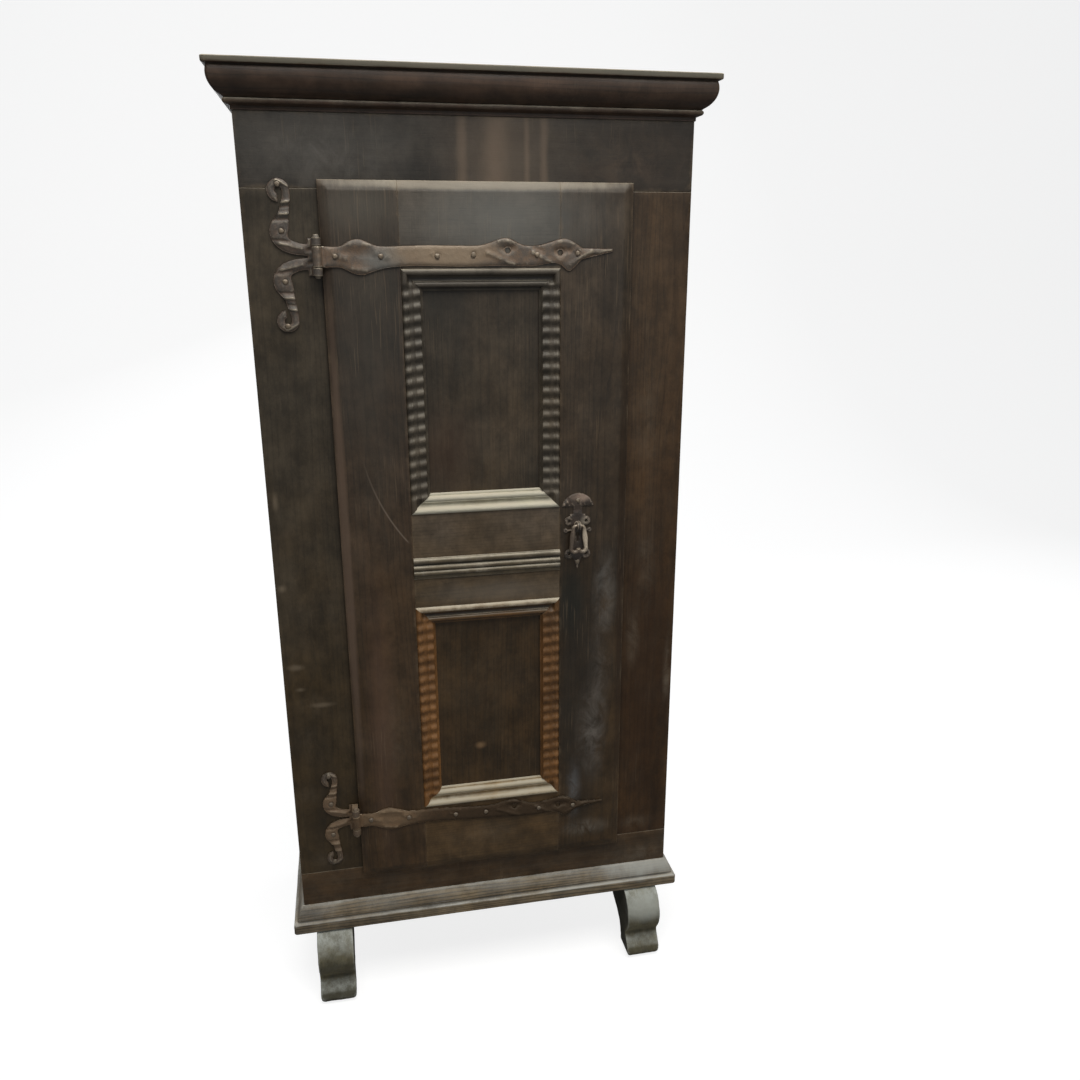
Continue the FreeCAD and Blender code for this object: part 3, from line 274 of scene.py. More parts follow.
def slab(piece, plane, low, high, grain, edge=2.2, step=14.0, relief=None, rebate=None, extra=((), ())):
    """A board with worn edges and a hand-planed face. Relief and rebate cut into its two faces."""
    across, up, deep = PLANES[plane]
    u, v = np.meshgrid(grid_lines(low[across], high[across], step, edge, extra[0]),
                       grid_lines(low[up], high[up], step, edge, extra[1]), indexing="ij")
    margin_u = np.minimum(u - low[across], high[across] - u)
    margin_v = np.minimum(v - low[up], high[up] - v)
    margin = np.minimum(margin_u, margin_v)

    def surface(depth):
        points = np.empty(u.shape + (3,))
        points[..., across] = u
        points[..., up] = v
        points[..., deep] = depth
        return points

    face = surface(low[deep])
    radius = edge * (0.85 + 0.4 * unevenness(face, 45))
    chips = np.clip(unevenness(face, 19, 3.1) - 0.3, 0, 1) * edge * np.clip(1 - margin / (3 * edge), 0, 1)
    fall = np.minimum(quarter_round(margin_u, radius) + quarter_round(margin_v, radius), 1.4 * radius)
    planed = 0.3 * (1 + unevenness(face, 120, 7.7)) / 2
    near = low[deep] + fall + chips + planed
    far = high[deep] - fall
    if relief:
        near = near + relief(u, v)
    if rebate:
        far = far - rebate(u, v)
    wall = min(3.0, (high[deep] - low[deep]) / 3)
    rows, columns = u.shape
    index = np.arange(rows * columns).reshape(rows, columns)
    rim = np.concatenate((index[:, 0], index[-1, 1:], index[-2::-1, -1], index[0, -2:0:-1]))
    front_points = surface(near).reshape(-1, 3)
    back_points = surface(far).reshape(-1, 3)
    shift = np.zeros(3)
    shift[deep] = wall
    wall_near = front_points[rim] + shift
    wall_far = back_points[rim] - shift
    exposure = np.clip(1 - margin / (2.6 * edge), 0, 1).ravel()
    quads = []
    for i in range(rows - 1):
        for j in range(columns - 1):
            quads.append([index[i, j], index[i + 1, j], index[i + 1, j + 1], index[i, j + 1]])
    total = rows * columns
    faces = quads + [[k + total for k in reversed(quad)] for quad in quads]
    count = len(rim)
    loops = [rim, 2 * total + np.arange(count), 2 * total + count + np.arange(count), rim + total]
    for first, second in zip(loops, loops[1:]):
        for k in range(count):
            after = (k + 1) % count
            faces.append([first[k], second[k], second[after], first[after]])
    wear = np.concatenate((exposure, exposure, np.full(2 * count, 0.2)))
    piece.add(np.concatenate((front_points, back_points, wall_near, wall_far)), faces, wear, grain)


def loft(piece, rings, wear, grain):
    """Joins closed rings of points into one closed surface with flat ends."""
    rings = np.asarray(rings, float)
    count, size = rings.shape[:2]
    faces = []
    for ring in range(count - 1):
        for k in range(size):
            after = (k + 1) % size
            start = ring * size
            faces.append([start + k, start + after, start + size + after, start + size + k])
    faces.append(list(range(size))[::-1])
    faces.append(list(range((count - 1) * size, count * size)))
    piece.add(rings, faces, wear, grain)


def arc(centre, radius, start, end, steps):
    """Points of an arc in a section, from one angle to another in degrees."""
    angles = np.radians(np.linspace(start, end, steps + 1))
    radii = np.broadcast_to(radius, 2)
    return [(centre[0] + radii[0] * math.cos(a), centre[1] + radii[1] * math.sin(a)) for a in angles]


def arc_through(first, middle, last, steps):
    """Points of the arc through three points, without the first."""
    (ax, ay), (bx, by), (cx, cy) = first, middle, last
    d = 2 * (ax * (by - cy) + bx * (cy - ay) + cx * (ay - by))
    a2, b2, c2 = ax * ax + ay * ay, bx * bx + by * by, cx * cx + cy * cy
    x = (a2 * (by - cy) + b2 * (cy - ay) + c2 * (ay - by)) / d
    y = (a2 * (cx - bx) + b2 * (ax - cx) + c2 * (bx - ax)) / d
    start = math.atan2(ay - y, ax - x)
    turn = math.remainder(math.atan2(cy - y, cx - x) - start, math.tau)
    radius = math.hypot(ax - x, ay - y)
    return [(x + radius * math.cos(start + turn * k / steps), y + radius * math.sin(start + turn * k / steps))
            for k in range(1, steps + 1)]


def section_wear(section):
    """Exposure of each point of a closed section: crests near 1, hollows near -1."""
    points = np.asarray(section, float)
    before = points - np.roll(points, 1, 0)
    after = np.roll(points, -1, 0) - points
    turn = np.arctan2(before[:, 0] * after[:, 1] - before[:, 1] * after[:, 0], (before * after).sum(1))
    length = (np.hypot(*before.T) + np.hypot(*after.T)) / 2
    area = np.sum(points[:, 0] * np.roll(points[:, 1], -1) - np.roll(points[:, 0], -1) * points[:, 1])
    return np.tanh(np.sign(area) * turn / np.maximum(length, 0.6) * 2.6)


def joined_copy(*nodes):
    """One mesh of the named construction nodes, with the seams of their faces closed."""
    build = bmesh.new()
    for node in nodes:
        build.from_mesh(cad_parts[node].data)
    bmesh.ops.remove_doubles(build, verts=build.verts, dist=0.01 * MM)
    mesh = bpy.data.meshes.new("blank")
    build.to_mesh(mesh)
    build.free()
    return mesh


def islands(mesh):
    """Lowest and highest corner of each separate solid of a mesh, in millimetres."""
    parent = list(range(len(mesh.vertices)))

    def root(index):
        while parent[index] != index:
            parent[index] = parent[parent[index]]
            index = parent[index]
        return index

    for edge in mesh.edges:
        parent[root(edge.vertices[0])] = root(edge.vertices[1])
    groups = {}
    points = mesh_points(mesh)
    for index in range(len(points)):
        groups.setdefault(root(index), []).append(index)
    return [(points[group].min(0), points[group].max(0)) for group in groups.values()]


def sorted_solids(node):
    """Corners of the separate solids of a construction node, in order of their places."""
    return sorted(islands(joined_copy(node)), key=lambda pair: tuple(pair[0]))


def softened(mesh, grain_size, passes):
    """The same shape in an even skin of small faces, with its sharp edges worn round."""
    blank = bpy.data.objects.new("blank", mesh)
    bpy.context.scene.collection.objects.link(blank)
    remesh = blank.modifiers.new("Skin", "REMESH")
    remesh.mode = "VOXEL"
    remesh.voxel_size = grain_size * MM
    smooth = blank.modifiers.new("Worn", "SMOOTH")
    smooth.factor = 0.5
    smooth.iterations = passes
    graph = bpy.context.evaluated_depsgraph_get()
    result = bpy.data.meshes.new_from_object(blank.evaluated_get(graph))
    bpy.data.objects.remove(blank)
    return result


def mesh_points(mesh):
    points = np.empty(len(mesh.vertices) * 3)
    mesh.vertices.foreach_get("co", points)
    return points.reshape(-1, 3) / MM


def mesh_normals(mesh):
    normals = np.empty(len(mesh.vertices) * 3, np.float32)
    mesh.vertices.foreach_get("normal", normals)
    return normals.reshape(-1, 3).astype(float)


def mesh_exposure(mesh, passes=3):
    """Exposure of each point of an evenly faced mesh, from how much it stands out."""
    edges = np.empty(len(mesh.edges) * 2, np.int32)
    mesh.edges.foreach_get("vertices", edges)
    first, second = edges.reshape(-1, 2).T
    points = mesh_points(mesh)
    count = np.maximum(np.bincount(edges, minlength=len(points)), 1)

    def mean_of_neighbours(values):
        total = np.zeros_like(values)
        np.add.at(total, first, values[second])
        np.add.at(total, second, values[first])
        return total / (count[:, None] if values.ndim > 1 else count)

    around = points
    for _ in range(passes):
        around = mean_of_neighbours(around)
    stand = ((points - around) * mesh_normals(mesh)).sum(1)
    for _ in range(2):
        stand = (stand + mean_of_neighbours(stand)) / 2
    return stand


def move_points(mesh, offsets):
    """Moves the points of a mesh by offsets in millimetres."""
    mesh.vertices.foreach_set("co", ((mesh_points(mesh) + offsets) * MM).ravel())
    mesh.update()


def hammered(mesh, depth, size):
    """Shallow round dents of a hammer, and the unevenness between them."""
    points = mesh_points(mesh)
    normals = mesh_normals(mesh)
    dents = np.array([noise.voronoi(Vector(point))[0][0] for point in points / size])
    shape = depth * (np.clip(dents, 0, 1) ** 2 - 0.6) + 0.5 * depth * unevenness(points, 2.5 * size, 2.0)
    move_points(mesh, -normals * np.clip(0.2 * depth - shape, 0, depth)[:, None])


def crowned(mesh, plane, fall, reach, from_x):
    """Forges the flat front of a plate into a low crown that falls away towards its outline."""
    points = mesh_points(mesh)
    normals = mesh_normals(mesh)
    walls = points[np.abs(normals[:, 1]) < 0.5]
    tree = kdtree.KDTree(len(walls))
    for index, (x, _, z) in enumerate(walls):
        tree.insert((x, 0, z), index)
    tree.balance()
    face = (normals[:, 1] < -0.5) & (np.abs(points[:, 1] - plane) < 0.8) & (points[:, 0] > from_x)
    offsets = np.zeros_like(points)
    for index in np.flatnonzero(face):
        x, _, z = points[index]
        gap = tree.find((x, 0, z))[2]
        offsets[index, 1] = fall * max(0, 1 - gap / reach) ** 2
    move_points(mesh, offsets)


def chiselled(mesh, strokes, placed_on):
    """Raises ridges and sinks hollows in the front of a plate, each along a line between two points.

    A stroke is (start, end, radius, height) in the plate's own drawing, which the last function gives.
    """
    points = mesh_points(mesh)
    front = np.clip(-mesh_normals(mesh)[:, 1] * 2 - 0.4, 0, 1)
    drawing = placed_on(points[:, 0], points[:, 2])
    rise = np.zeros(len(points))
    for start, end, radius, height in strokes:
        start, end = np.array(start, float), np.array(end, float)
        share = np.clip((drawing - start) @ (end - start) / max(1.0, (end - start) @ (end - start)), 0, 1)
        gap = np.hypot(*(drawing - start - share[:, None] * (end - start)).T)
        rise += height * np.exp(-(gap / radius) ** 2)
    offsets = np.zeros_like(points)
    offsets[:, 1] = -rise * front
    move_points(mesh, offsets)


def forged(name, finish, body, slot, *nodes, skin=1.1, passes=2, depth=None, dent=9.0, crown=None,
           strokes=None, swelling=None, exposure=5.0):
    """A piece of forged iron made over its construction node. Swelling gives how much it grows at points."""
    mesh = softened(joined_copy(*nodes), skin, passes)
    if swelling:
        move_points(mesh, mesh_normals(mesh) * (1, 0, 1) * swelling(mesh_points(mesh))[:, None])
    if crown:
        crowned(mesh, *crown)
    if strokes:
        chiselled(mesh, *strokes)
    marks = bpy.context.scene.bonnetiere_sizes.hammer_depth / MM if depth is None else depth
    hammered(mesh, marks, dent)
    wear = np.clip(mesh_exposure(mesh) * exposure / skin, -1, 1)
    set_surface(mesh, mesh_points(mesh) * MM, wear)
    mesh.shade_smooth()
    return placed(name, mesh, finish, body, slot, *nodes)


# ---- shader node groups ----------------------------------------------------------------
class Wires:
    """Adds nodes to a shader tree and joins them."""

    def __init__(self, tree):
        self.tree = tree

    def node(self, kind, inputs=(), **settings):
        node = self.tree.nodes.new(kind)
        for name, value in settings.items():
            setattr(node, name, value)
        for key, value in dict(inputs).items():
            self.join(value, node.inputs[key])
        return node

    def join(self, value, socket):
        if isinstance(value, bpy.types.NodeSocket):
            self.tree.links.new(value, socket)
        elif socket.type == "RGBA" and len(value) == 3:
            socket.default_value = (*value, 1)
        else:
            socket.default_value = value

    def math(self, operation, first, second=0.0, clamp=False):
        node = self.node("ShaderNodeMath", {0: first, 1: second}, operation=operation, use_clamp=clamp)
        return node.outputs[0]

    def vector(self, operation, first, second=(0, 0, 0)):
        node = self.node("ShaderNodeVectorMath", {0: first, 1: second}, operation=operation)
        return node.outputs["Value" if operation in ("LENGTH", "DOT_PRODUCT") else "Vector"]

    def scaled(self, vector, factor):
        return self.node("ShaderNodeVectorMath", {"Vector": vector, "Scale": factor},
                         operation="SCALE").outputs["Vector"]

    def noise(self, vector, scale, detail=2.0, rough=0.5):
        inputs = {"Vector": vector, "Scale": scale, "Detail": detail, "Roughness": rough}
        return self.node("ShaderNodeTexNoise", inputs)

    def between(self, value, low, high, start=0.0, end=1.0):
        """A soft step from one value to another."""
        inputs = {"Value": value, "From Min": low, "From Max": high, "To Min": start, "To Max": end}
        return self.node("ShaderNodeMapRange", inputs, interpolation_type="SMOOTHSTEP").outputs["Result"]

    def mix(self, factor, first, second, blend="MIX"):
        inputs = {0: factor, 6: first, 7: second}
        node = self.node("ShaderNodeMix", inputs, data_type="RGBA", blend_type=blend)
        return node.outputs[2]

    def group(self, tree, inputs):
        node = self.node("ShaderNodeGroup", node_tree=tree)
        for key, value in inputs.items():
            self.join(value, node.inputs[key])
        return node.outputs


def new_group(name, inputs, outputs):
    """An empty node group with named sockets: its wires, its entry and its end."""
    tree = bpy.data.node_groups.new(name, "ShaderNodeTree")
    for label, kind, value in inputs:
        socket = tree.interface.new_socket(label, in_out="INPUT", socket_type="NodeSocket" + kind)
        socket.default_value = value
    for label, kind in outputs:
        tree.interface.new_socket(label, in_out="OUTPUT", socket_type="NodeSocket" + kind)
    wires = Wires(tree)
    return wires, wires.node("NodeGroupInput").outputs, wires.node("NodeGroupOutput").inputs


def shared_group(name, build):
    """The named group, built the first time it is asked for."""
    return bpy.data.node_groups.get(name) or build(name)


def oak_grain(name):
    """Growth rings, faint streaks, clouds of old wax, fibres and open pores of flat-sawn oak."""
    wires, given, end = new_group(
        name, [("Place", "Vector", (0, 0, 0)), ("Dark", "Color", (0.02, 0.015, 0.01, 1)),
               ("Light", "Color", (0.06, 0.04, 0.03, 1)), ("Figure", "Float", 0.5)],
        [("Color", "Color"), ("Height", "Float"), ("Tone", "Float")])
    place = given["Place"]
    drift = wires.noise(wires.vector("MULTIPLY", place, (1, 1, 0.09)), 17, 3).outputs["Color"]
    bend = wires.scaled(wires.vector("SUBTRACT", drift, (0.5, 0.5, 0.5)), 0.03)
    bent = wires.vector("ADD", wires.vector("MULTIPLY", place, (1, 1, 0.35)), bend)
    rings = wires.node("ShaderNodeTexWave", {"Vector": bent, "Scale": 52.0, "Distortion": 0.0},
                       wave_type="RINGS", rings_direction="Z", wave_profile="SAW").outputs["Fac"]
    late_wood = wires.between(rings, 0.55, 1.0)
    streaks = wires.noise(wires.vector("MULTIPLY", place, (1, 1, 0.045)), 34, 5, 0.6).outputs["Fac"]
    broad = wires.noise(wires.vector("MULTIPLY", place, (1, 1, 0.22)), 7, 3, 0.55).outputs["Fac"]
    clouds = wires.noise(wires.vector("MULTIPLY", place, (1, 1, 0.6)), 17, 6, 0.66).outputs["Fac"]
    fibres = wires.noise(wires.vector("MULTIPLY", place, (1, 1, 0.03)), 620, 2, 0.6).outputs["Fac"]
    dashes = wires.noise(wires.vector("MULTIPLY", place, (1, 1, 0.06)), 900, 1, 0.5).outputs["Fac"]
    open_rings = wires.math("ADD", wires.math("MULTIPLY", late_wood, 0.6), 0.4)
    pores = wires.math("MULTIPLY", wires.between(dashes, 0.56, 0.7), open_rings)
    figure = wires.math("MULTIPLY", late_wood, given["Figure"])
    tone = wires.math("ADD", wires.math("MULTIPLY", streaks, 0.24), wires.math("MULTIPLY", broad, 0.5))
    tone = wires.math("ADD", tone, wires.math("MULTIPLY", clouds, 0.53))
    tone = wires.math("ADD", tone, wires.math("MULTIPLY", fibres, 0.09))
    tone = wires.math("SUBTRACT", tone, wires.math("MULTIPLY", figure, 0.15))
    tone = wires.between(tone, 0.36, 0.94)
    colour = wires.mix(tone, given["Dark"], given["Light"])
    colour = wires.mix(wires.math("MULTIPLY", pores, 0.28), colour, wires.scaled(given["Dark"], 0.45))
    height = wires.math("ADD", wires.math("MULTIPLY", fibres, 0.35), wires.math("MULTIPLY", streaks, 0.3))
    height = wires.math("SUBTRACT", height, wires.math("MULTIPLY", pores, 0.6))
    wires.join(colour, end["Color"])
    wires.join(height, end["Height"])
    wires.join(tone, end["Tone"])
    return wires.tree


def height_tint(name):
    """Clouded mottling, with the colour cooler and greyer toward the top and browner toward the floor."""
    wires, given, end = new_group(
        name, [("Place", "Vector", (0, 0, 0)), ("Color", "Color", (0.05, 0.04, 0.03, 1))],
        [("Color", "Color")])
    height = wires.node("ShaderNodeSeparateXYZ", {0: given["Place"]}).outputs["Z"]
    cloud = wires.noise(given["Place"], 3.2, 4, 0.6).outputs["Fac"]
    drift = wires.math("MULTIPLY", wires.math("SUBTRACT", cloud, 0.5), 1.8)
    low = wires.between(wires.math("ADD", height, drift), 1.55, 0.4)
    tint = wires.mix(low, (0.95, 1.0, 1.02), (1.15, 0.98, 0.62))
    mottling = wires.noise(wires.vector("MULTIPLY", given["Place"], (1, 1, 0.8)), 24, 6, 0.7).outputs["Fac"]
    depth = wires.between(mottling, 0.28, 0.72, 0.68, 1.38)
    wires.join(wires.scaled(wires.mix(1.0, given["Color"], tint, "MULTIPLY"), depth), end["Color"])
    return wires.tree


def edge_wear(name):
    """Where hands and cloths have rubbed edges and crests bare, broken up by noise."""
    wires, given, end = new_group(
        name, [("Place", "Vector", (0, 0, 0)), ("Exposure", "Float", 0.0), ("Amount", "Float", 0.5)],
        [("Mask", "Float")])
    patches = wires.noise(given["Place"], 26, 4, 0.6).outputs["Fac"]
    grit = wires.noise(given["Place"], 260, 2, 0.6).outputs["Fac"]
    spread = wires.math("ADD", wires.math("MULTIPLY", patches, 1.3), wires.math("MULTIPLY", grit, 0.35))
    value = wires.math("ADD", given["Exposure"], wires.math("SUBTRACT", spread, 0.85))
    mask = wires.math("MULTIPLY", wires.between(value, 0.35, 1.0), given["Amount"], clamp=True)
    wires.join(mask, end["Mask"])
    return wires.tree


def settled_dust(name):
    """Dust and old lime on what looks upward, most of it where nothing stands over it."""
    wires, given, end = new_group(
        name, [("Place", "Vector", (0, 0, 0)), ("Grain", "Vector", (0, 0, 0)), ("Exposure", "Float", 0.0),
               ("Amount", "Float", 0.5), ("Film", "Float", 0.0)],
        [("Mask", "Float")])
    normal = wires.node("ShaderNodeNewGeometry").outputs["Normal"]
    upward = wires.between(wires.node("ShaderNodeSeparateXYZ", {0: normal}).outputs["Z"], 0.15, 0.85)
    cloud = wires.noise(given["Place"], 13, 5, 0.7).outputs["Fac"]
    wiped = wires.noise(wires.vector("MULTIPLY", given["Grain"], (1, 1, 0.1)), 75, 5, 0.7).outputs["Fac"]
    grit = wires.noise(given["Place"], 420, 3, 0.7).outputs["Fac"]
    both = wires.math("ADD", wires.math("MULTIPLY", cloud, 0.5), wires.math("MULTIPLY", wiped, 0.6))
    cover = wires.between(wires.math("ADD", both, wires.math("MULTIPLY", grit, 0.2)), 0.5, 0.82, 0.25, 1.0)
    open_air = wires.between(given["Exposure"], -0.7, 0.5, 0.25, 1.0)
    lying = wires.math("MULTIPLY", wires.math("MULTIPLY", upward, open_air), given["Amount"])
    amount = wires.math("ADD", lying, given["Film"])
    wires.join(wires.math("MULTIPLY", amount, cover, clamp=True), end["Mask"])
    return wires.tree


def from_centre(wires, given):
    """Distance from the centre of a patch: 1 at its half sizes."""
    away = wires.vector("SUBTRACT", given["Place"], given["Centre"])
    return wires.vector("LENGTH", wires.vector("DIVIDE", away, given["Half size"]))


def soft_patch(name):
    """A patch with a ragged edge: its half sizes are given along the three axes."""
    wires, given, end = new_group(
        name, [("Place", "Vector", (0, 0, 0)), ("Centre", "Vector", (0, 0, 0)),
               ("Half size", "Vector", (0.1, 0.1, 0.1)), ("Edge", "Float", 0.5), ("Grit", "Float", 0.5)],
        [("Mask", "Float")])
    ragged = wires.noise(wires.vector("MULTIPLY", given["Place"], (1, 1, 0.35)), 24, 5, 0.65).outputs["Fac"]
    distance = wires.math("ADD", from_centre(wires, given),
                          wires.math("MULTIPLY", wires.math("SUBTRACT", ragged, 0.5), given["Grit"]))
    start = wires.math("SUBTRACT", 1.0, given["Edge"])
    wires.join(wires.between(distance, start, 1.0, 1.0, 0.0), end["Mask"])
    return wires.tree


def swirled_smear(name):
    """Smears in swirls, fading out toward the limits of its half sizes: wiped wax, and on the base partly
    painted glare.
    """
    wires, given, end = new_group(
        name, [("Place", "Vector", (0, 0, 0)), ("Centre", "Vector", (0, 0, 0)),
               ("Half size", "Vector", (0.1, 0.1, 0.1))],
        [("Mask", "Float")])
    inputs = {"Vector": wires.vector("MULTIPLY", given["Place"], (1, 1, 0.7)), "Scale": 26.0, "Detail": 7.0,
              "Roughness": 0.72, "Distortion": 0.7}
    swirls = wires.node("ShaderNodeTexNoise", inputs).outputs["Fac"]
    near = wires.between(from_centre(wires, given), 1.0, 0.0)
    wires.join(wires.math("MULTIPLY", wires.between(swirls, 0.3, 0.8), near), end["Mask"])
    return wires.tree


def fine_scratches(name):
    """Thin scratches in two leanings, in short bundles."""
    wires, given, end = new_group(name, [("Place", "Vector", (0, 0, 0))], [("Mask", "Float")])
    masks = []
    for lean, shift in ((0.35, 3.0), (-0.6, 9.0)):
        turned = wires.node("ShaderNodeMapping", {"Vector": given["Place"], "Location": (shift, 0, 0),
                                                  "Rotation": (0, lean, 0), "Scale": (1, 1, 0.035)})
        lines = wires.noise(turned.outputs[0], 330, 1, 0.4).outputs["Fac"]
        masks.append(wires.between(lines, 0.66, 0.72))
    bundles = wires.between(wires.noise(given["Place"], 6.5, 2).outputs["Fac"], 0.5, 0.62)
    wires.join(wires.math("MULTIPLY", wires.math("MAXIMUM", *masks), bundles), end["Mask"])
    return wires.tree


def iron_skin(name):
    """Scale, rust and rubbed spots of old forged iron."""
    wires, given, end = new_group(
        name, [("Place", "Vector", (0, 0, 0)), ("Exposure", "Float", 0.0),
               ("Scale colour", "Color", (0, 0, 0, 1)), ("Rust colour", "Color", (0, 0, 0, 1)),
               ("Bare colour", "Color", (0, 0, 0, 1)), ("Rust", "Float", 0.5)],
        [("Color", "Color"), ("Bare", "Float"), ("Height", "Float")])
    cloud = wires.noise(given["Place"], 38, 5, 0.65).outputs["Fac"]
    grit = wires.noise(given["Place"], 420, 4, 0.7).outputs["Fac"]
    pits = wires.node("ShaderNodeTexVoronoi", {"Vector": given["Place"], "Scale": 330.0}).outputs["Distance"]
    hollow = wires.math("SUBTRACT", wires.math("ADD", cloud, wires.math("MULTIPLY", grit, 0.3)),
                        wires.math("MULTIPLY", given["Exposure"], 0.25))
    rusty = wires.math("MULTIPLY", wires.between(hollow, 0.5, 0.78), given["Rust"])
    colour = wires.mix(rusty, given["Scale colour"], given["Rust colour"])
    colour = wires.mix(wires.between(grit, 0.35, 0.75, 0.25, 0.0), colour, (0.004, 0.003, 0.003))
    clouded = wires.math("MULTIPLY", wires.math("SUBTRACT", cloud, 0.5), 1.4)
    rubbed = wires.math("ADD", given["Exposure"], clouded)
    bare = wires.between(rubbed, 0.25, 0.95)
    colour = wires.mix(wires.math("MULTIPLY", bare, 0.85), colour, given["Bare colour"])
    height = wires.math("ADD", wires.math("MULTIPLY", grit, 0.6), wires.math("MULTIPLY", pits, 0.5))
    wires.join(colour, end["Color"])
    wires.join(bare, end["Bare"])
    wires.join(height, end["Height"])
    return wires.tree


# ---- finishes --------------------------------------------------------------------------
def new_finish(name):
    """An empty material: its wires and its shader."""
    material = bpy.data.materials.new(name)
    material.use_nodes = True
    wires = Wires(material.node_tree)
    shader = material.node_tree.nodes["Principled BSDF"]
    return material, wires, shader


def part_place(wires):
    """Place of a point in the part's own frame, in metres."""
    return wires.node("ShaderNodeTexCoord").outputs["Object"]


def attribute(wires, name, output):
    return wires.node("ShaderNodeAttribute", attribute_name=name).outputs[output]


def with_patches(wires, colour, place, patches):
    """Lays soft patches over a colour, stains and also painted light and shade: (colour, strength, centre,
    half size, edge, grit), in metres.
    """
    for patch_colour, strength, centre, half, edge, grit in patches:
        mask = wires.group(shared_group("Soft patch", soft_patch),
                           {"Place": place, "Centre": centre, "Half size": half, "Edge": edge,
                            "Grit": grit})["Mask"]
        colour = wires.mix(wires.math("MULTIPLY", mask, strength), colour, patch_colour)
    return colour


def with_smears(wires, colour, place, smears):
    """Lays swirled smears over a colour, wiped wax and in places painted glare: (colour, strength, centre,
    half size), in metres.
    """
    for tint, strength, centre, half in smears:
        mask = wires.group(shared_group("Wiped smear", swirled_smear),
                           {"Place": place, "Centre": centre, "Half size": half})["Mask"]
        colour = wires.mix(wires.math("MULTIPLY", mask, strength), colour, tint)
    return colour


def with_arcs(wires, colour, place, arcs):
    """Lays thin arcs over a colour: (colour, strength, centre, radius, half width, low, high), in metres."""
    for tint, strength, centre, radius, half, low, high in arcs:
        away = wires.vector("LENGTH", wires.vector("SUBTRACT", place, centre))
        line = wires.between(wires.math("ABSOLUTE", wires.math("SUBTRACT", away, radius)), half, 0.0)
        height = wires.node("ShaderNodeSeparateXYZ", {"Vector": place}).outputs["Z"]
        fading = wires.math("MULTIPLY", wires.between(height, low, low + 0.01),
                            wires.between(height, high, low + 0.03))
        mask = wires.math("MULTIPLY", wires.math("MULTIPLY", line, fading), strength)
        colour = wires.mix(mask, colour, tint)
    return colour


def oak(name, dark=None, light=None, worn=None, figure=0.35, wear=0.22, dust=0.5, film=0.02, gloss=0.45,
        coat=0.06, scratches=0.06, bump=0.35, grain=None, patches=(), smears=(), arcs=(),
        lime=None):
    """Old oak. The grain runs along the stored log, or along the named axis of a plain node."""
    known = bpy.data.materials.get(name)
    if known:
        return known
    colours = bpy.context.scene.bonnetiere_colours
    material, wires, shader = new_finish(name)
    place = part_place(wires)
    if grain is None:
        wood = attribute(wires, "wood", "Vector")
    else:
        turn = {"X": (0, math.pi / 2, 0), "Y": (math.pi / 2, 0, 0), "Z": (0, 0, 0)}[grain]
        wood = wires.node("ShaderNodeMapping", {"Vector": place, "Rotation": turn}).outputs[0]
    exposure = attribute(wires, "wear", "Fac")
    grown = wires.group(shared_group("Oak grain", oak_grain),
                        {"Place": wood, "Dark": dark or colours.oak_dark, "Light": light or colours.oak_light,
                         "Figure": figure})
    colour = wires.group(shared_group("Browned wax", height_tint),
                         {"Place": place, "Color": grown["Color"]})["Color"]
    colour = with_patches(wires, colour, place, patches)
    colour = with_smears(wires, colour, place, smears)
    colour = with_arcs(wires, colour, place, arcs)
    # Painted shade: where the exposure is low, in the hollows of the mouldings, the cuts of the ripples and
    # on the side faces of the feet, the colour is darkened toward black.
    hollow = wires.between(exposure, -0.15, -0.9)
    colour = wires.mix(wires.math("MULTIPLY", hollow, 0.7), colour, (0.006, 0.005, 0.004))
    rubbed = wires.group(shared_group("Edge wear", edge_wear),
                         {"Place": place, "Exposure": exposure, "Amount": wear})["Mask"]
    colour = wires.mix(rubbed, colour, worn or colours.oak_worn)
    lines = wires.group(shared_group("Fine scratches", fine_scratches), {"Place": place})["Mask"]
    colour = wires.mix(wires.math("MULTIPLY", lines, scratches), colour, worn or colours.oak_worn)
    dusty = wires.group(shared_group("Settled dust", settled_dust),
                        {"Place": place, "Grain": wood, "Exposure": exposure, "Amount": dust,
                         "Film": film})["Mask"]
    colour = wires.mix(dusty, colour, lime or colours.dust)
    wires.join(colour, shader.inputs["Base Color"])
    dull = wires.math("ADD", wires.math("MULTIPLY", grown["Tone"], 0.14), wires.math("MULTIPLY", dusty, 0.35))
    wires.join(wires.math("ADD", dull, gloss, clamp=True), shader.inputs["Roughness"])
    shader.inputs["Specular IOR Level"].default_value = 0.2
    shader.inputs["Coat Roughness"].default_value = 0.35
    if coat:
        waxed = wires.math("MULTIPLY", wires.math("SUBTRACT", 1.0, dusty, clamp=True), coat)
        wires.join(waxed, shader.inputs["Coat Weight"])
    relief = wires.math("ADD", grown["Height"], wires.math("MULTIPLY", lines, -0.5))
    bumped = wires.node("ShaderNodeBump", {"Height": relief, "Strength": bump, "Distance": 0.6 * MM})
    wires.join(bumped.outputs["Normal"], shader.inputs["Normal"])
    return material


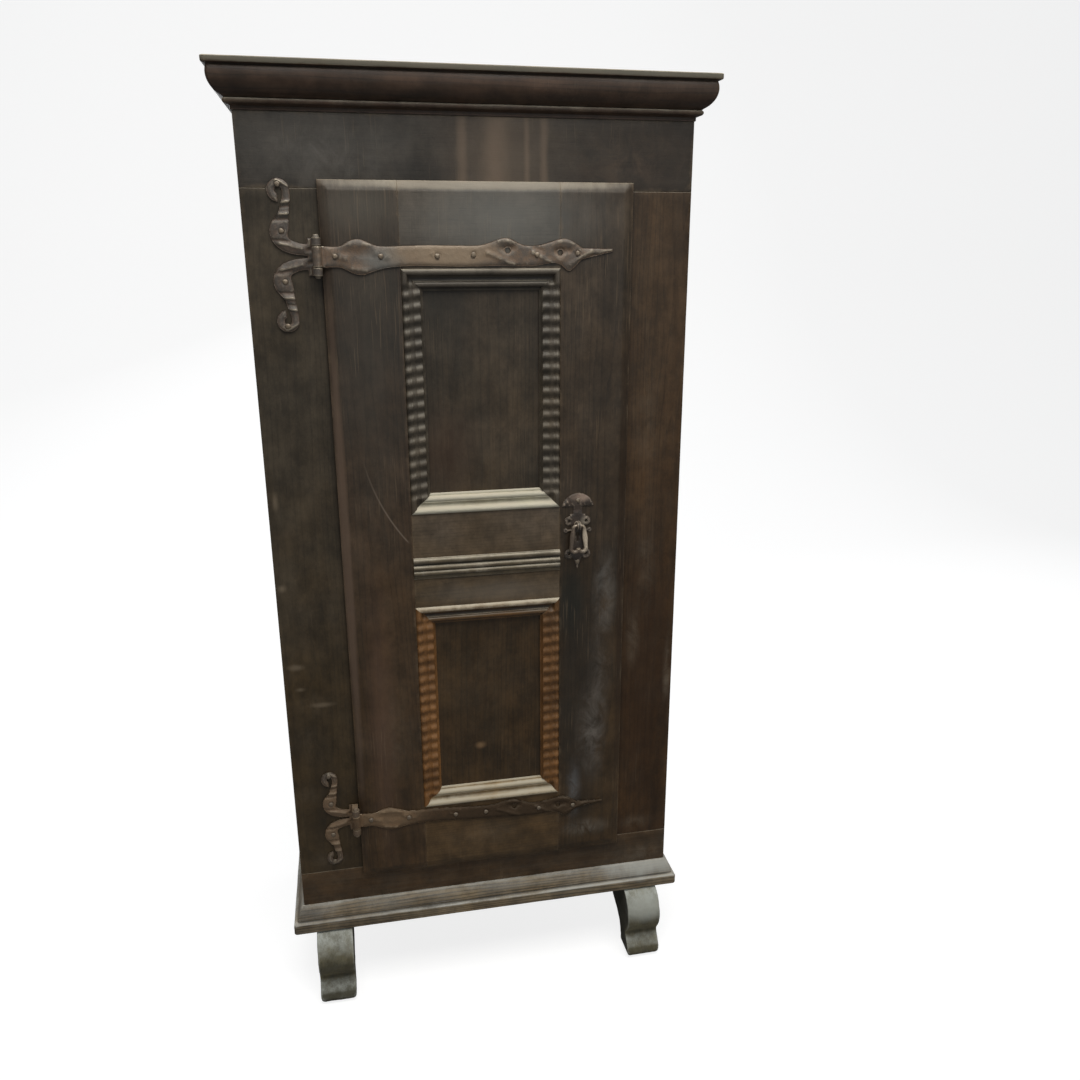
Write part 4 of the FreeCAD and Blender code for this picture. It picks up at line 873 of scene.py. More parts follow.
def iron(name, scale=None, rust=None, bare=srgb(120, 108, 94), rustiness=0.6, metal=0.35, rough=0.5,
         shine=0.5, patches=()):
    """Old forged iron under a thin skin of wax and rust."""
    known = bpy.data.materials.get(name)
    if known:
        return known
    colours = bpy.context.scene.bonnetiere_colours
    material, wires, shader = new_finish(name)
    place = part_place(wires)
    exposure = attribute(wires, "wear", "Fac")
    skin = wires.group(shared_group("Iron skin", iron_skin),
                       {"Place": place, "Exposure": exposure, "Scale colour": scale or colours.iron,
                        "Rust colour": rust or colours.rust, "Bare colour": bare, "Rust": rustiness})
    colour = with_patches(wires, skin["Color"], place, patches)
    dusty = wires.group(shared_group("Settled dust", settled_dust),
                        {"Place": place, "Grain": place, "Exposure": exposure, "Amount": 0.5,
                         "Film": 0.02})["Mask"]
    colour = wires.mix(wires.math("MULTIPLY", dusty, 0.6), colour, colours.dust)
    wires.join(colour, shader.inputs["Base Color"])
    shader.inputs["Specular IOR Level"].default_value = shine
    if metal:
        wires.join(wires.math("MULTIPLY", skin["Bare"], metal), shader.inputs["Metallic"])
    wires.join(wires.math("SUBTRACT", rough + 0.1, wires.math("MULTIPLY", skin["Bare"], 0.18)),
               shader.inputs["Roughness"])
    bumped = wires.node("ShaderNodeBump", {"Height": skin["Height"], "Strength": 0.5, "Distance": 0.5 * MM})
    wires.join(bumped.outputs["Normal"], shader.inputs["Normal"])
    return material


# ---- carcass ---------------------------------------------------------------------------
FLUSH_EDGE = 0.6        # share of the usual worn edge, on timbers that meet flush


def box_of(x0, x1, y0, y1, z0, z1):
    return (x0, y0, z0), (x1, y1, z1)


def worn_edge():
    return bpy.context.scene.bonnetiere_sizes.timber_edge / MM


class BONNETIERE_OT_front_frame(bpy.types.Operator):
    """Build the jambs, the frieze and the bottom rail of the front"""
    bl_idname = "bonnetiere.front_frame"
    bl_label = "Front frame"

    def execute(self, context):
        edge = worn_edge() * FLUSH_EDGE
        face = -0.192
        skin = 0.02
        # Painted sheen: a grey patch at the upper left of the frieze.
        grey_sheen_left = (srgb(62, 60, 57), 0.5, (-0.3, face, 1.72), (0.3, skin, 0.09), 0.9, 0.7)
        brown_right = (srgb(33, 27, 22), 0.9, (0.32, face, 1.7), (0.2, skin, 0.2), 1.0, 0.4)
        faded = (srgb(84, 72, 60), 0.6, (0.05, face, 1.7), (0.15, skin, 0.3), 1.0, 0.5)
        drips = [(srgb(112, 95, 79), 0.34, (x, face, 1.7), (half, skin, 0.3), 1.0, 0.9)
                 for x, half in ((-0.022, 0.014), (0.035, 0.034), (0.092, 0.008), (0.123, 0.011))]
        clouded = [(srgb(104, 100, 94), 0.35, (-0.27, face, 1.7), (0.2, skin, 0.1)),
                   (srgb(104, 84, 66), 0.3, (0.28, face, 1.7), (0.17, skin, 0.09))]
        frieze = oak("oak_frieze", dark=srgb(31, 27, 24), light=srgb(56, 49, 42), figure=0.3,
                     patches=[grey_sheen_left, brown_right, faded, *drips], smears=clouded)
        low_brown = (srgb(44, 27, 12), 0.65, (0.34, face, 0.66), (0.09, skin, 0.5), 0.9, 0.6)
        right_smears = [(srgb(126, 114, 98), strength, (x, face, z), (half, skin, tall))
                        for x, z, half, tall, strength in (
                            (0.312, 0.77, 0.022, 0.09, 0.45), (0.33, 0.32, 0.05, 0.03, 0.4),
                            (0.39, 0.69, 0.014, 0.12, 0.6), (0.335, 0.93, 0.03, 0.16, 0.25),
                            (0.33, 1.2, 0.04, 0.2, 0.15))]
        left_smears = [(srgb(118, 102, 82), strength, (x, face, z), (half, skin, tall))
                       for x, z, half, tall, strength in (
                           (-0.35, 0.68, 0.05, 0.035, 0.4), (-0.375, 0.48, 0.04, 0.03, 0.35),
                           (-0.36, 0.6, 0.05, 0.09, 0.2), (-0.34, 1.15, 0.05, 0.2, 0.15),
                           (-0.34, 0.32, 0.07, 0.03, 0.3))]
        left_marks = [(srgb(126, 111, 92), strength, (x, face, z), (half, skin, tall), 1.0, 1.0)
                      for x, z, half, tall, strength in (
                          (-0.386, 1.1, 0.008, 0.03, 0.4), (-0.388, 0.93, 0.012, 0.012, 0.5),
                          (-0.374, 0.765, 0.022, 0.009, 0.45), (-0.331, 0.68, 0.034, 0.008, 0.45),
                          (-0.37, 0.717, 0.014, 0.007, 0.4))]
        timbers = (
            ("jamb_left", box_of(LEFT, DOORWAY_LEFT, FRONT, FRAME_BACK, DOORWAY_BOTTOM, DOORWAY_TOP), "Z",
             oak("oak_hinge_jamb", dark=srgb(35, 30, 24), light=srgb(66, 56, 44), wear=0.1,
                 patches=left_marks, smears=left_smears),
             "front_stile_left"),
            ("jamb_right", box_of(DOORWAY_RIGHT, RIGHT, FRONT, FRAME_BACK, DOORWAY_BOTTOM, DOORWAY_TOP), "Z",
             oak("oak_lock_jamb", dark=srgb(32, 22, 13), light=srgb(70, 51, 33), figure=0.5, wear=0.1,
                 patches=[low_brown], smears=right_smears),
             "front_stile_right"),
            ("frieze", box_of(LEFT, RIGHT, FRONT, FRAME_BACK, DOORWAY_TOP, BODY_TOP), "X", frieze,
             "frieze_rail"),
            ("rail_under_door", box_of(LEFT, RIGHT, FRONT, FRAME_BACK, BODY_BOTTOM, DOORWAY_BOTTOM), "X",
             oak("oak_bottom_rail", light=srgb(70, 54, 40), film=0.06,
                 smears=[(srgb(124, 112, 96), 0.5, (0.34, face, 0.235), (0.1, skin, 0.035)),
                         (srgb(110, 92, 70), 0.3, (-0.34, face, 0.27), (0.07, skin, 0.03))]), "bottom_rail"),
        )
        for name, (low, high), grain, finish, node in timbers:
            piece = Piece(name)
            slab(piece, "front", low, high, grain, edge)
            piece.made(finish, "carcass", "carcass_oak", node)
        return {"FINISHED"}


class BONNETIERE_OT_side_frames(bpy.types.Operator):
    """Build the stiles, posts, rails and panels of both sides"""
    bl_idname = "bonnetiere.side_frames"
    bl_label = "Side frames"

    def execute(self, context):
        edge = worn_edge()
        finish = oak("oak_sides", dark=srgb(34, 27, 22), light=srgb(68, 54, 42), film=0.06)
        panel_finish = oak("oak_side_panels", dark=srgb(32, 27, 23), light=srgb(64, 52, 41), figure=0.9,
                           film=0.1)
        for side in ("left", "right"):
            low, high = corners("side_stile_" + side)
            stile = Piece("side_stile_board_" + side)
            slab(stile, "side", low, high, "Z", edge)
            stile.made(finish, "carcass", "carcass_oak", "side_stile_" + side)
            low, high = corners("rear_post_" + side)
            post = Piece("corner_post_" + side)
            slab(post, "side", low, high, "Z", edge)
            post.made(finish, "carcass", "carcass_oak", "rear_post_" + side)
            low, high = corners("side_rails_" + side)
            panel_low, panel_high = corners("side_panels_" + side)
            rails = Piece("side_frame_rails_" + side)
            groove = 9.0
            levels = [(low[2], panel_low[2] + groove), None, (panel_high[2] - groove, high[2])]
            panel_mesh = joined_copy("side_panels_" + side)
            middle = sorted({round(z, 1) for z in mesh_points(panel_mesh)[:, 2]})
            levels[1] = (middle[1] - groove, middle[2] + groove)
            for z0, z1 in levels:
                slab(rails, "side", (low[0], SIDE_FRAME_FRONT, z0), (high[0], POST_FRONT, z1), "Y", edge)
            rails.made(finish, "carcass", "carcass_oak", "side_rails_" + side)
            panels = Piece("side_field_panels_" + side)
            for z0, z1 in ((middle[0], middle[1]), (middle[2], middle[3])):
                slab(panels, "side", (panel_low[0], panel_low[1], z0), (panel_high[0], panel_high[1], z1),
                     "Z", 1.5, 18.0)
            panels.made(panel_finish, "carcass", "panel_oak", "side_panels_" + side)
        return {"FINISHED"}


class BONNETIERE_OT_back(bpy.types.Operator):
    """Build the rails and the nailed boards of the back, and the top board"""
    bl_idname = "bonnetiere.back"
    bl_label = "Back and top"

    def execute(self, context):
        edge = worn_edge()
        rough = oak("oak_back", dark=srgb(66, 52, 38), light=srgb(128, 104, 76), wear=0.3, film=0.18,
                    gloss=0.68, coat=0.0, bump=0.8)
        inside = oak("oak_inside", dark=srgb(58, 44, 31), light=srgb(116, 92, 64), wear=0.3, film=0.12,
                     gloss=0.6, coat=0.0, bump=0.6)
        boards = Piece("back_planks")
        for low, high in sorted_solids("back_boards"):
            slab(boards, "front", low, high, "Z", 1.2, 16.0)
        boards.made(rough, "carcass", "inner_oak", "back_boards")
        low, high = corners("back_rails")
        rails = Piece("back_frame_rails")
        for rail_low, rail_high in sorted_solids("back_rails"):
            slab(rails, "front", (POST_LEFT, low[1], rail_low[2]), (-POST_LEFT, high[1], rail_high[2]), "X",
                 edge)
        rails.made(inside, "carcass", "inner_oak", "back_rails")
        low, high = corners("top_board")
        top = Piece("top_planks")
        planks = 3
        width = (high[1] - low[1]) / planks
        for index in range(planks):
            slab(top, "flat", (low[0], low[1] + index * width, low[2]),
                 (high[0], low[1] + (index + 1) * width, high[2]), "X", 1.2, 18.0)
        top.made(rough, "carcass", "inner_oak", "top_board")
        return {"FINISHED"}


def softened_node(node, finish, edge=1.2):
    """A construction node that stays, with its edges eased and a finish of its own."""
    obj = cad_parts[node]
    weld = obj.modifiers.new("Closed seams", "WELD")
    weld.merge_threshold = 0.01 * MM
    bevel = obj.modifiers.new("Eased edges", "BEVEL")
    bevel.width = edge * MM
    bevel.segments = 2
    bevel.limit_method = "ANGLE"
    obj.data.materials.clear()
    obj.data.materials.append(finish)


class BONNETIERE_OT_inside(bpy.types.Operator):
    """Finish the floor, the shelves, their cleats and the hidden parts of the base"""
    bl_idname = "bonnetiere.inside"
    bl_label = "Inside"

    def execute(self, context):
        shelf = oak("oak_shelves", dark=srgb(58, 44, 31), light=srgb(120, 95, 66), wear=0.3, film=0.14,
                    gloss=0.6, coat=0.0, bump=0.6, grain="X")
        batten = oak("oak_cleats", dark=srgb(54, 42, 30), light=srgb(104, 82, 58), wear=0.3, film=0.1,
                     gloss=0.6, coat=0.0, bump=0.6, grain="Y")
        block = oak("oak_rear_feet", dark=srgb(40, 34, 29), light=srgb(86, 74, 62), film=0.2, gloss=0.6,
                    coat=0.0, bump=0.6, grain="Z")
        for node in ("floor_board", "shelf_lower", "shelf_middle", "shelf_upper", "base_back_rail"):
            softened_node(node, shelf)
        for node in ("shelf_cleats", "base_corner_blocks"):
            softened_node(node, batten)
        softened_node("feet_rear", block, 2.5)
        return {"FINISHED"}


# ---- mouldings -------------------------------------------------------------------------
def cornice_section():
    """Fascia, ovolo, bead and fillet: (out from the body, above it), from the inner foot round."""
    top = CORNICE_HEIGHT
    out = CORNICE_OUT
    section = [(-CORNICE_IN, 0), (-CORNICE_IN, top), (out - 3, top)]
    section += arc((out - 2.2, top - 2.2), 2.2, 90, 0, 4)
    section += [(out, 66.4), (out - 0.4, 64.8), (out - 2.2, 63.8), (out - 7, 63), (30.6, 62.4)]
    section += arc_through((30.6, 62.4), (31.4, 40), (13.4, 19.6), 14)
    section += [(12, 18.6), (10.6, 17.6)]
    section += arc((8.4, 12.8), 4.6, 80, -80, 8)
    section += [(8.6, 8), (3.4, 6.6), (2, 5.2), (2, 0)]
    return section


def base_section():
    """Sloping hollow, groove and rounded fascia: (out from the body, above the ground of the base)."""
    section = [(-BASE_IN, 0), (-BASE_IN, BASE_HEIGHT), (2.4, BASE_HEIGHT), (3.6, 55)]
    section += arc_through((3.6, 55), (10.6, 43), (14.4, 31), 7)
    section += [(15, 29.6), (15, 28.2), (14.2, 26), (15.4, 24.2), (18.4, 24)]
    section += arc((19.2, 20.2), 3.6, 90, 10, 5)
    section += [(BASE_OUT, 18), (BASE_OUT - 0.2, 12), (BASE_OUT, 6)]
    section += arc((19.4, 3.4), 3.4, 0, -90, 4)
    return section


def run_round(name, section, bottom, side, finish, node):
    """A moulding along the front or one side, mitred at the front corners and worn round there."""
    outline = np.array(section)
    edge_out = outline[:, 0].max()
    reach = RIGHT + edge_out
    depth = BACK - FRONT + edge_out
    near = np.array([0, 0.6, 1.6, 3.2, 5.5, 9])
    if side == "front":
        stations = np.concatenate((near, np.linspace(16, 2 * reach - 16, 66), 2 * reach - near[::-1]))
        corner = np.minimum(stations, 2 * reach - stations)
    else:
        stations = np.concatenate((near, np.linspace(16, depth, 40)))
        corner = stations
    worn = quarter_round(corner, 4.0)
    rings = []
    for station, fall, calm in zip(stations, worn, np.clip(corner / 25, 0, 1)):
        share = np.clip(outline[:, 0] / edge_out, 0, 1)
        place = np.stack((np.full(len(outline), station), outline[:, 0] * 3, outline[:, 1] * 3), 1)
        planed = 0.45 * calm * (unevenness(place, 55, bottom) - 0.6)
        out = outline[:, 0] + share * (planed - fall)
        up = bottom + outline[:, 1]
        t = station / (2 * reach) if side == "front" else station / depth
        if side == "front":
            x = (2 * t - 1) * (RIGHT + out)
            y = FRONT - out
        else:
            hand = -1 if side == "left" else 1
            x = hand * (RIGHT + out)
            y = (FRONT - out) + t * (BACK - FRONT + out)
        rings.append(np.stack((x, y, up), 1))
    wear = np.tile(section_wear(section), (len(stations), 1)) + np.clip(1 - corner / 14, 0, 1)[:, None] * 0.5
    piece = Piece(name)
    loft(piece, rings, np.clip(wear, -1, 1), "X" if side == "front" else "Y")
    piece.made(finish, "carcass", "plinth_oak", node)


class BONNETIERE_OT_cornice(bpy.types.Operator):
    """Build the cornice moulding and its returns"""
    bl_idname = "bonnetiere.cornice"
    bl_label = "Cornice"

    def execute(self, context):
        dusty_edge = (srgb(92, 90, 78), 0.6, (0.0, FRONT * MM, (BODY_TOP + CORNICE_HEIGHT) * MM),
                      (1.2, 1.2, 0.011), 0.3, 0.6)
        finish = oak("oak_cornice", dark=srgb(30, 21, 15), light=srgb(66, 47, 35), wear=0.35, dust=0.8,
                     film=0.02, gloss=0.42, coat=0.1, worn=srgb(112, 100, 82), figure=0.7,
                     patches=[dusty_edge])
        for side in ("front", "left", "right"):
            run_round("cornice_run_" + side, cornice_section(), BODY_TOP, side, finish,
                      "cornice_" + side)
        return {"FINISHED"}


class BONNETIERE_OT_base(bpy.types.Operator):
    """Build the base moulding and its returns"""
    bl_idname = "bonnetiere.base"
    bl_label = "Base moulding"

    def execute(self, context):
        # Pale smears on the base, and at its right end partly a painted highlight of the overhead light.
        pale_end_and_glare = (srgb(172, 174, 168), 0.65, (0.36, -0.21, 0.205), (0.14, 0.1, 0.03), 0.9, 1.0)
        pale_smears_and_glare = [(srgb(180, 180, 174), 0.6, (0.33, -0.21, 0.205), (0.17, 0.1, 0.03)),
                       (srgb(160, 156, 148), 0.35, (-0.3, -0.21, 0.2), (0.2, 0.1, 0.04))]
        finish = oak("oak_base", dark=srgb(38, 31, 26), light=srgb(138, 128, 118), wear=0.5, dust=1.0,
                     film=0.14, gloss=0.5, coat=0.03, worn=srgb(160, 156, 148), figure=1.4,
                     patches=[pale_end_and_glare], smears=pale_smears_and_glare, lime=srgb(172, 170, 162))
        for side in ("front", "left", "right"):
            run_round("base_run_" + side, base_section(), BASE_BOTTOM, side, finish,
                      "base_moulding_" + side)
        return {"FINISHED"}


class BONNETIERE_OT_feet(bpy.types.Operator):
    """Carve the two scrolled front feet"""
    bl_idname = "bonnetiere.feet"
    bl_label = "Front feet"

    def execute(self, context):
        left_low, left_high = corners("foot_front_left")
        right_low, right_high = corners("foot_front_right")
        front = left_low[1] * MM
        left_toe = (srgb(52, 51, 43), 0.7, ((left_low[0] + left_high[0]) / 2 * MM, front, 0.02),
                    (0.08, 0.1, 0.05), 0.6, 0.5)
        # Painted highlight on the knee of the right foot.
        right_knee_highlight = (srgb(168, 171, 164), 0.65, ((right_low[0] + right_high[0]) / 2 * MM, front, 0.13),
                      (0.08, 0.06, 0.045), 0.7, 0.5)
        finish = oak("oak_feet", dark=srgb(58, 57, 51), light=srgb(102, 102, 95), wear=0.45, dust=1.0,
                     film=0.1, gloss=0.55, coat=0.0, worn=srgb(156, 158, 150), grain="Y",
                     patches=[left_toe, right_knee_highlight], lime=srgb(170, 173, 166))
        for side in ("left", "right"):
            node = "foot_front_" + side
            mesh = softened(joined_copy(node), 2.4, 3)
            points = mesh_points(mesh)
            lumps = 0.7 * unevenness(points, 34) + 0.3 * unevenness(points, 11, 5) - 0.6
            offsets = mesh_normals(mesh) * lumps[:, None]
            low, high = corners(node)
            across = (points[:, 0] - (low[0] + high[0]) / 2) / (high[0] - low[0]) * 2
            offsets[:, 0] -= across**3 * quarter_round(points[:, 2], 19)
            move_points(mesh, offsets)
            # Painted shade: the side faces of each foot get a lower exposure, which darkens them.
            shaded_cheek = np.clip(np.abs(mesh_normals(mesh)[:, 0]) - 0.6, 0, 0.4) * 2.2
            wear = np.clip(mesh_exposure(mesh, 4) * 1.5 - shaded_cheek, -1, 1)
            set_surface(mesh, points[:, ALONG["Y"]] * MM, wear)
            mesh.shade_smooth()
            placed("scroll_foot_" + side, mesh, finish, "carcass", "plinth_oak", node)
        return {"FINISHED"}


# ---- door ------------------------------------------------------------------------------
def from_door_edge(across, up):
    """Distance from the nearest outer edge of the door."""
    return np.minimum(np.minimum(across - DOOR_LOW[0], DOOR_HIGH[0] - across),
                      np.minimum(up - DOOR_LOW[2], DOOR_HIGH[2] - up))


class BONNETIERE_OT_door_leaf(bpy.types.Operator):
    """Build the stiles and rails of the door, bevelled outside and rebated behind"""
    bl_idname = "bonnetiere.door_leaf"
    bl_label = "Door leaf"

    def execute(self, context):
        sizes = context.scene.bonnetiere_sizes
        width = sizes.bevel_width / MM
        depth = sizes.bevel_depth / MM
        lap = sizes.door_lap / MM
        rebate_depth = DOOR_HIGH[1] - LIP_BACK

        def bevel(across, up):
            share = np.clip(1 - from_door_edge(across, up) / width, 0, 1)
            return depth * share**1.25

        def rebate(across, up):
            return np.where(from_door_edge(across, up) < lap + 0.05, rebate_depth, 0.0)

        steps = np.array([lap, lap + 0.35, width * 0.5, width, width + 1.5])
        left_lines = DOOR_LOW[0] + steps
        right_lines = DOOR_HIGH[0] - steps
        low_lines = DOOR_LOW[2] + steps
        high_lines = DOOR_HIGH[2] - steps
        upper_low, upper_high = FRAME_LEVELS["upper"]
        lower_low, lower_high = FRAME_LEVELS["lower"]
        y0, y1 = DOOR_LOW[1], DOOR_HIGH[1]
        face = -0.21
        skin = 0.02
        smears = [(tint, strength, (x, face, z), (half, skin, tall))
                  for tint, strength, x, z, half, tall in (
                      (srgb(132, 128, 122), 0.5, 0.245, 0.88, 0.035, 0.13),
                      (srgb(142, 134, 126), 0.55, 0.222, 0.57, 0.045, 0.15),
                      (srgb(126, 130, 134), 0.5, 0.182, 0.43, 0.024, 0.1),
                      (srgb(134, 126, 118), 0.35, 0.237, 0.73, 0.035, 0.14),
                      (srgb(142, 136, 126), 0.5, 0.21, 0.335, 0.07, 0.03))]
        cool = (srgb(34, 31, 27), 0.6, (0.2, face, 0.64), (0.07, skin, 0.38), 0.6, 0.4)
        dark_lock = (srgb(28, 29, 25), 0.75, (0.175, face, 0.87), (0.036, skin, 0.1), 0.8, 0.6)
        # Painted shade: a dark brown band down the bevel on the lock side.
        shaded_lock_bevel = (srgb(44, 30, 19), 0.6, (0.28, face, 0.9), (0.016, skin, 0.72), 0.7, 0.3)
        sheen = (srgb(103, 103, 99), 0.6, (0.04, face, 1.6), (0.27, skin, 0.12), 1.0, 0.4)
        # Painted highlight along the top bevel of the door, which faces the overhead light.
        lit_top_bevel = (srgb(130, 121, 106), 0.55, (0.0, -0.205, 1.655), (0.32, 0.03, 0.012), 0.5, 0.5)
        hinge_grey = (srgb(46, 44, 40), 0.65, (-0.2, face, 1.42), (0.12, skin, 0.42), 0.9, 0.6)
        hinge_top = (srgb(84, 80, 72), 0.5, (-0.2, face, 1.62), (0.12, skin, 0.07), 1.0, 0.5)
        rubbed_band = (srgb(104, 78, 62), 0.4, (-0.215, face, 0.62), (0.04, skin, 0.42), 1.0, 0.7)
        # Painted light: a paler band down the bevel on the hinge side.
        lit_hinge_bevel = (srgb(108, 89, 75), 0.55, (-0.264, face, 0.98), (0.013, skin, 0.68), 0.6, 0.3)
        curved_scratch = (srgb(128, 114, 100), 0.5, (0.154, face, 1.251), 0.3836, 0.0024, 1.008, 1.2)
        hinge_smears = [(srgb(112, 100, 84), strength, (x, face, z), (0.05, skin, tall))
                        for x, z, tall, strength in ((-0.2, 1.1, 0.2, 0.12), (-0.18, 0.6, 0.15, 0.25),
                                                     (-0.2, 1.5, 0.1, 0.2))]
        timbers = (
            ("stile_by_hinge", box_of(DOOR_LOW[0], OPENING_LEFT, y0, y1, DOOR_LOW[2], DOOR_HIGH[2]), "Z",
             (left_lines, (*low_lines, *high_lines)),
             oak("oak_hinge_stile", dark=srgb(36, 29, 23), light=srgb(71, 56, 44), figure=0.5, scratches=0.12,
                 patches=[hinge_grey, hinge_top, rubbed_band, lit_hinge_bevel, lit_top_bevel],
                 smears=hinge_smears, arcs=[curved_scratch]),
             "door_stile_hinge"),
            ("stile_by_lock", box_of(OPENING_RIGHT, DOOR_HIGH[0], y0, y1, DOOR_LOW[2], DOOR_HIGH[2]), "Z",
             (right_lines, (*low_lines, *high_lines)),
             oak("oak_lock_stile", dark=srgb(32, 26, 21), light=srgb(68, 55, 43), figure=0.5, scratches=0.15,
                 patches=[sheen, cool, dark_lock, shaded_lock_bevel, lit_top_bevel], smears=smears), "door_stile_lock"),
            ("rail_above", box_of(OPENING_LEFT, OPENING_RIGHT, y0, y1, upper_high, DOOR_HIGH[2]), "X",
             ((), high_lines), oak("oak_top_rail", dark=srgb(40, 34, 29), light=srgb(76, 66, 56), figure=0.4,
                                   patches=[sheen, lit_top_bevel]), "door_rail_top"),
            ("rail_across", box_of(OPENING_LEFT, OPENING_RIGHT, y0, y1, lower_high, upper_low), "X",
             ((), ()), oak("oak_middle_rail", dark=srgb(47, 41, 35), light=srgb(92, 79, 67),
                           patches=[(srgb(104, 97, 88), 0.45, (0.02, face, 0.9),
                                      (0.2, skin, 0.035), 1.0, 0.5)]),
             "door_rail_middle"),
            ("rail_below", box_of(OPENING_LEFT, OPENING_RIGHT, y0, y1, DOOR_LOW[2], lower_low), "X",
             ((), low_lines), oak("oak_lower_rail", dark=srgb(42, 35, 28), light=srgb(85, 70, 56),
                                  smears=[(srgb(108, 96, 80), 0.35, (-0.02, face, 0.35),
                                            (0.12, skin, 0.04))]),
             "door_rail_bottom"),
        )
        for name, (low, high), grain, extra, finish, node in timbers:
            piece = Piece(name)
            slab(piece, "front", low, high, grain, sizes.joint_edge / MM, 11.0, bevel, rebate, extra)
            piece.made(finish, "door", "door_oak", node, sharp=30)
        return {"FINISHED"}


class BONNETIERE_OT_door_panels(bpy.types.Operator):
    """Build the two panels of the door"""
    bl_idname = "bonnetiere.door_panels"
    bl_label = "Door panels"

    def execute(self, context):
        spot = (srgb(132, 104, 74), 0.7, (-0.015, -0.197, 0.556), (0.016, 0.01, 0.012), 0.9, 0.7)
        low_brown = (srgb(62, 43, 31), 0.45, (-0.07, -0.197, 1.18), (0.1, 0.01, 0.12), 1.0, 0.6)
        upper_dark = (srgb(36, 35, 32), 0.5, (-0.06, -0.197, 1.45), (0.08, 0.01, 0.12), 0.9, 0.6)
        rubbed = (srgb(96, 84, 68), 0.12, (0.03, -0.197, 1.2), (0.12, 0.01, 0.2))
        wiped = (srgb(96, 84, 66), 0.15, (-0.03, -0.197, 0.7), (0.12, 0.01, 0.16))
        finishes = {
            "upper": oak("oak_upper_panel", dark=srgb(36, 31, 25), light=srgb(68, 56, 44), figure=0.5,
                         patches=[upper_dark, low_brown], smears=[rubbed]),
            "lower": oak("oak_lower_panel", dark=srgb(36, 29, 22), light=srgb(68, 54, 40), figure=0.5,
                         patches=[spot], smears=[wiped]),
        }
        for name, finish in finishes.items():
            low, high = corners("door_panel_" + name)
            piece = Piece("panel_" + name)
            slab(piece, "front", low, high, "Z", 1.0, 9.0)
            piece.made(finish, "door", "panel_oak", "door_panel_" + name)
        return {"FINISHED"}


def panel_moulding_section(width):
    """Outer bead, hollow, inner bead and thin edge: (in from the outer edge, above the panel)."""
    section = [(0, 0), (0, 10)]
    section += arc((5.6, 11.2), (5.6, 5.6), 172, 8, 9)
    section += arc((16.8, 12.0), (5.4, 5.2), 205, 338, 7)
    section += arc((27.6, 6.8), (5.2, 5.0), 146, -8, 8)
    section += [(33.6, 4.6), (width - 1, 4.2), (width, 3.4), (width, 0)]
    return section


def panel_moulding(piece, edge_name, low, high, section, exposure_shift, ripple=None):
    """One mitred side of a panel frame, standing on the panel. A shift of exposure is given across its width:
    it wears and dusts the moulding, and where it is low it paints shade.
    """
    outline = np.array(section)
    across, rise = outline.T
    along_upright = edge_name in ("left", "right")
    start, end = (low[2], high[2]) if along_upright else (low[0], high[0])
    spacing = 1.7 if ripple else 6.0
    count = round((end - start) / spacing)
    base_wear = section_wear(section) + np.interp(across, *exposure_shift)
    rings = []
    wear = []
    for t in np.linspace(0, 1, count + 1):
        along = (start + across) * (1 - t) + (end - across) * t
        height = rise.copy()
        exposure = base_wear.copy()
        if ripple:
            pitch, depth, lean, filling, cuts = ripple
            centre = (start + end) / 2
            local = along + lean * across - centre
            limit = cuts * pitch / 2
            filled = np.clip((limit + 4 - np.abs(along - centre)) / 8, 0, 1)
            fullness = 15.6 - 4.6 * (across / across.max()) ** 1.6
            hollow = (across > 3) & (across < 34) & (rise > 4)
            height = np.where(hollow, rise + filled * np.clip(fullness - rise, 0, filling), rise)
            phase = np.abs((local / pitch + 0.5) % 1 - 0.5) * 2
            phase = np.where(np.abs(local) > limit, 0, phase)
            cut = (1 - np.cos(math.pi * phase)) / 2
            height = height - depth * cut * np.clip((rise - 3.2) / 6, 0, 1)
            # The cuts get a lower exposure, which paints a little shade in them and keeps dust off; the
            # crests between are worn more.
            exposure = np.where(phase > 0, base_wear * 0.3 + 0.35 - 0.5 * cut, base_wear)
        ring = np.empty((len(outline), 3))
        side = {"left": low[0] + across, "right": high[0] - across,
                "bottom": low[2] + across, "top": high[2] - across}[edge_name]
        ring[:, 0] = side if along_upright else along
        ring[:, 2] = along if along_upright else side
        planed = 0.35 * unevenness(np.stack((along, across, rise), 1), 24, 4.0)
        ring[:, 1] = PANEL_FACE - height + np.clip(planed, 0, 1) * np.clip(rise / 8, 0, 1)
        rings.append(ring)
        wear.append(np.clip(exposure, -1, 1))
    loft(piece, rings, wear, "Z" if along_upright else "X")


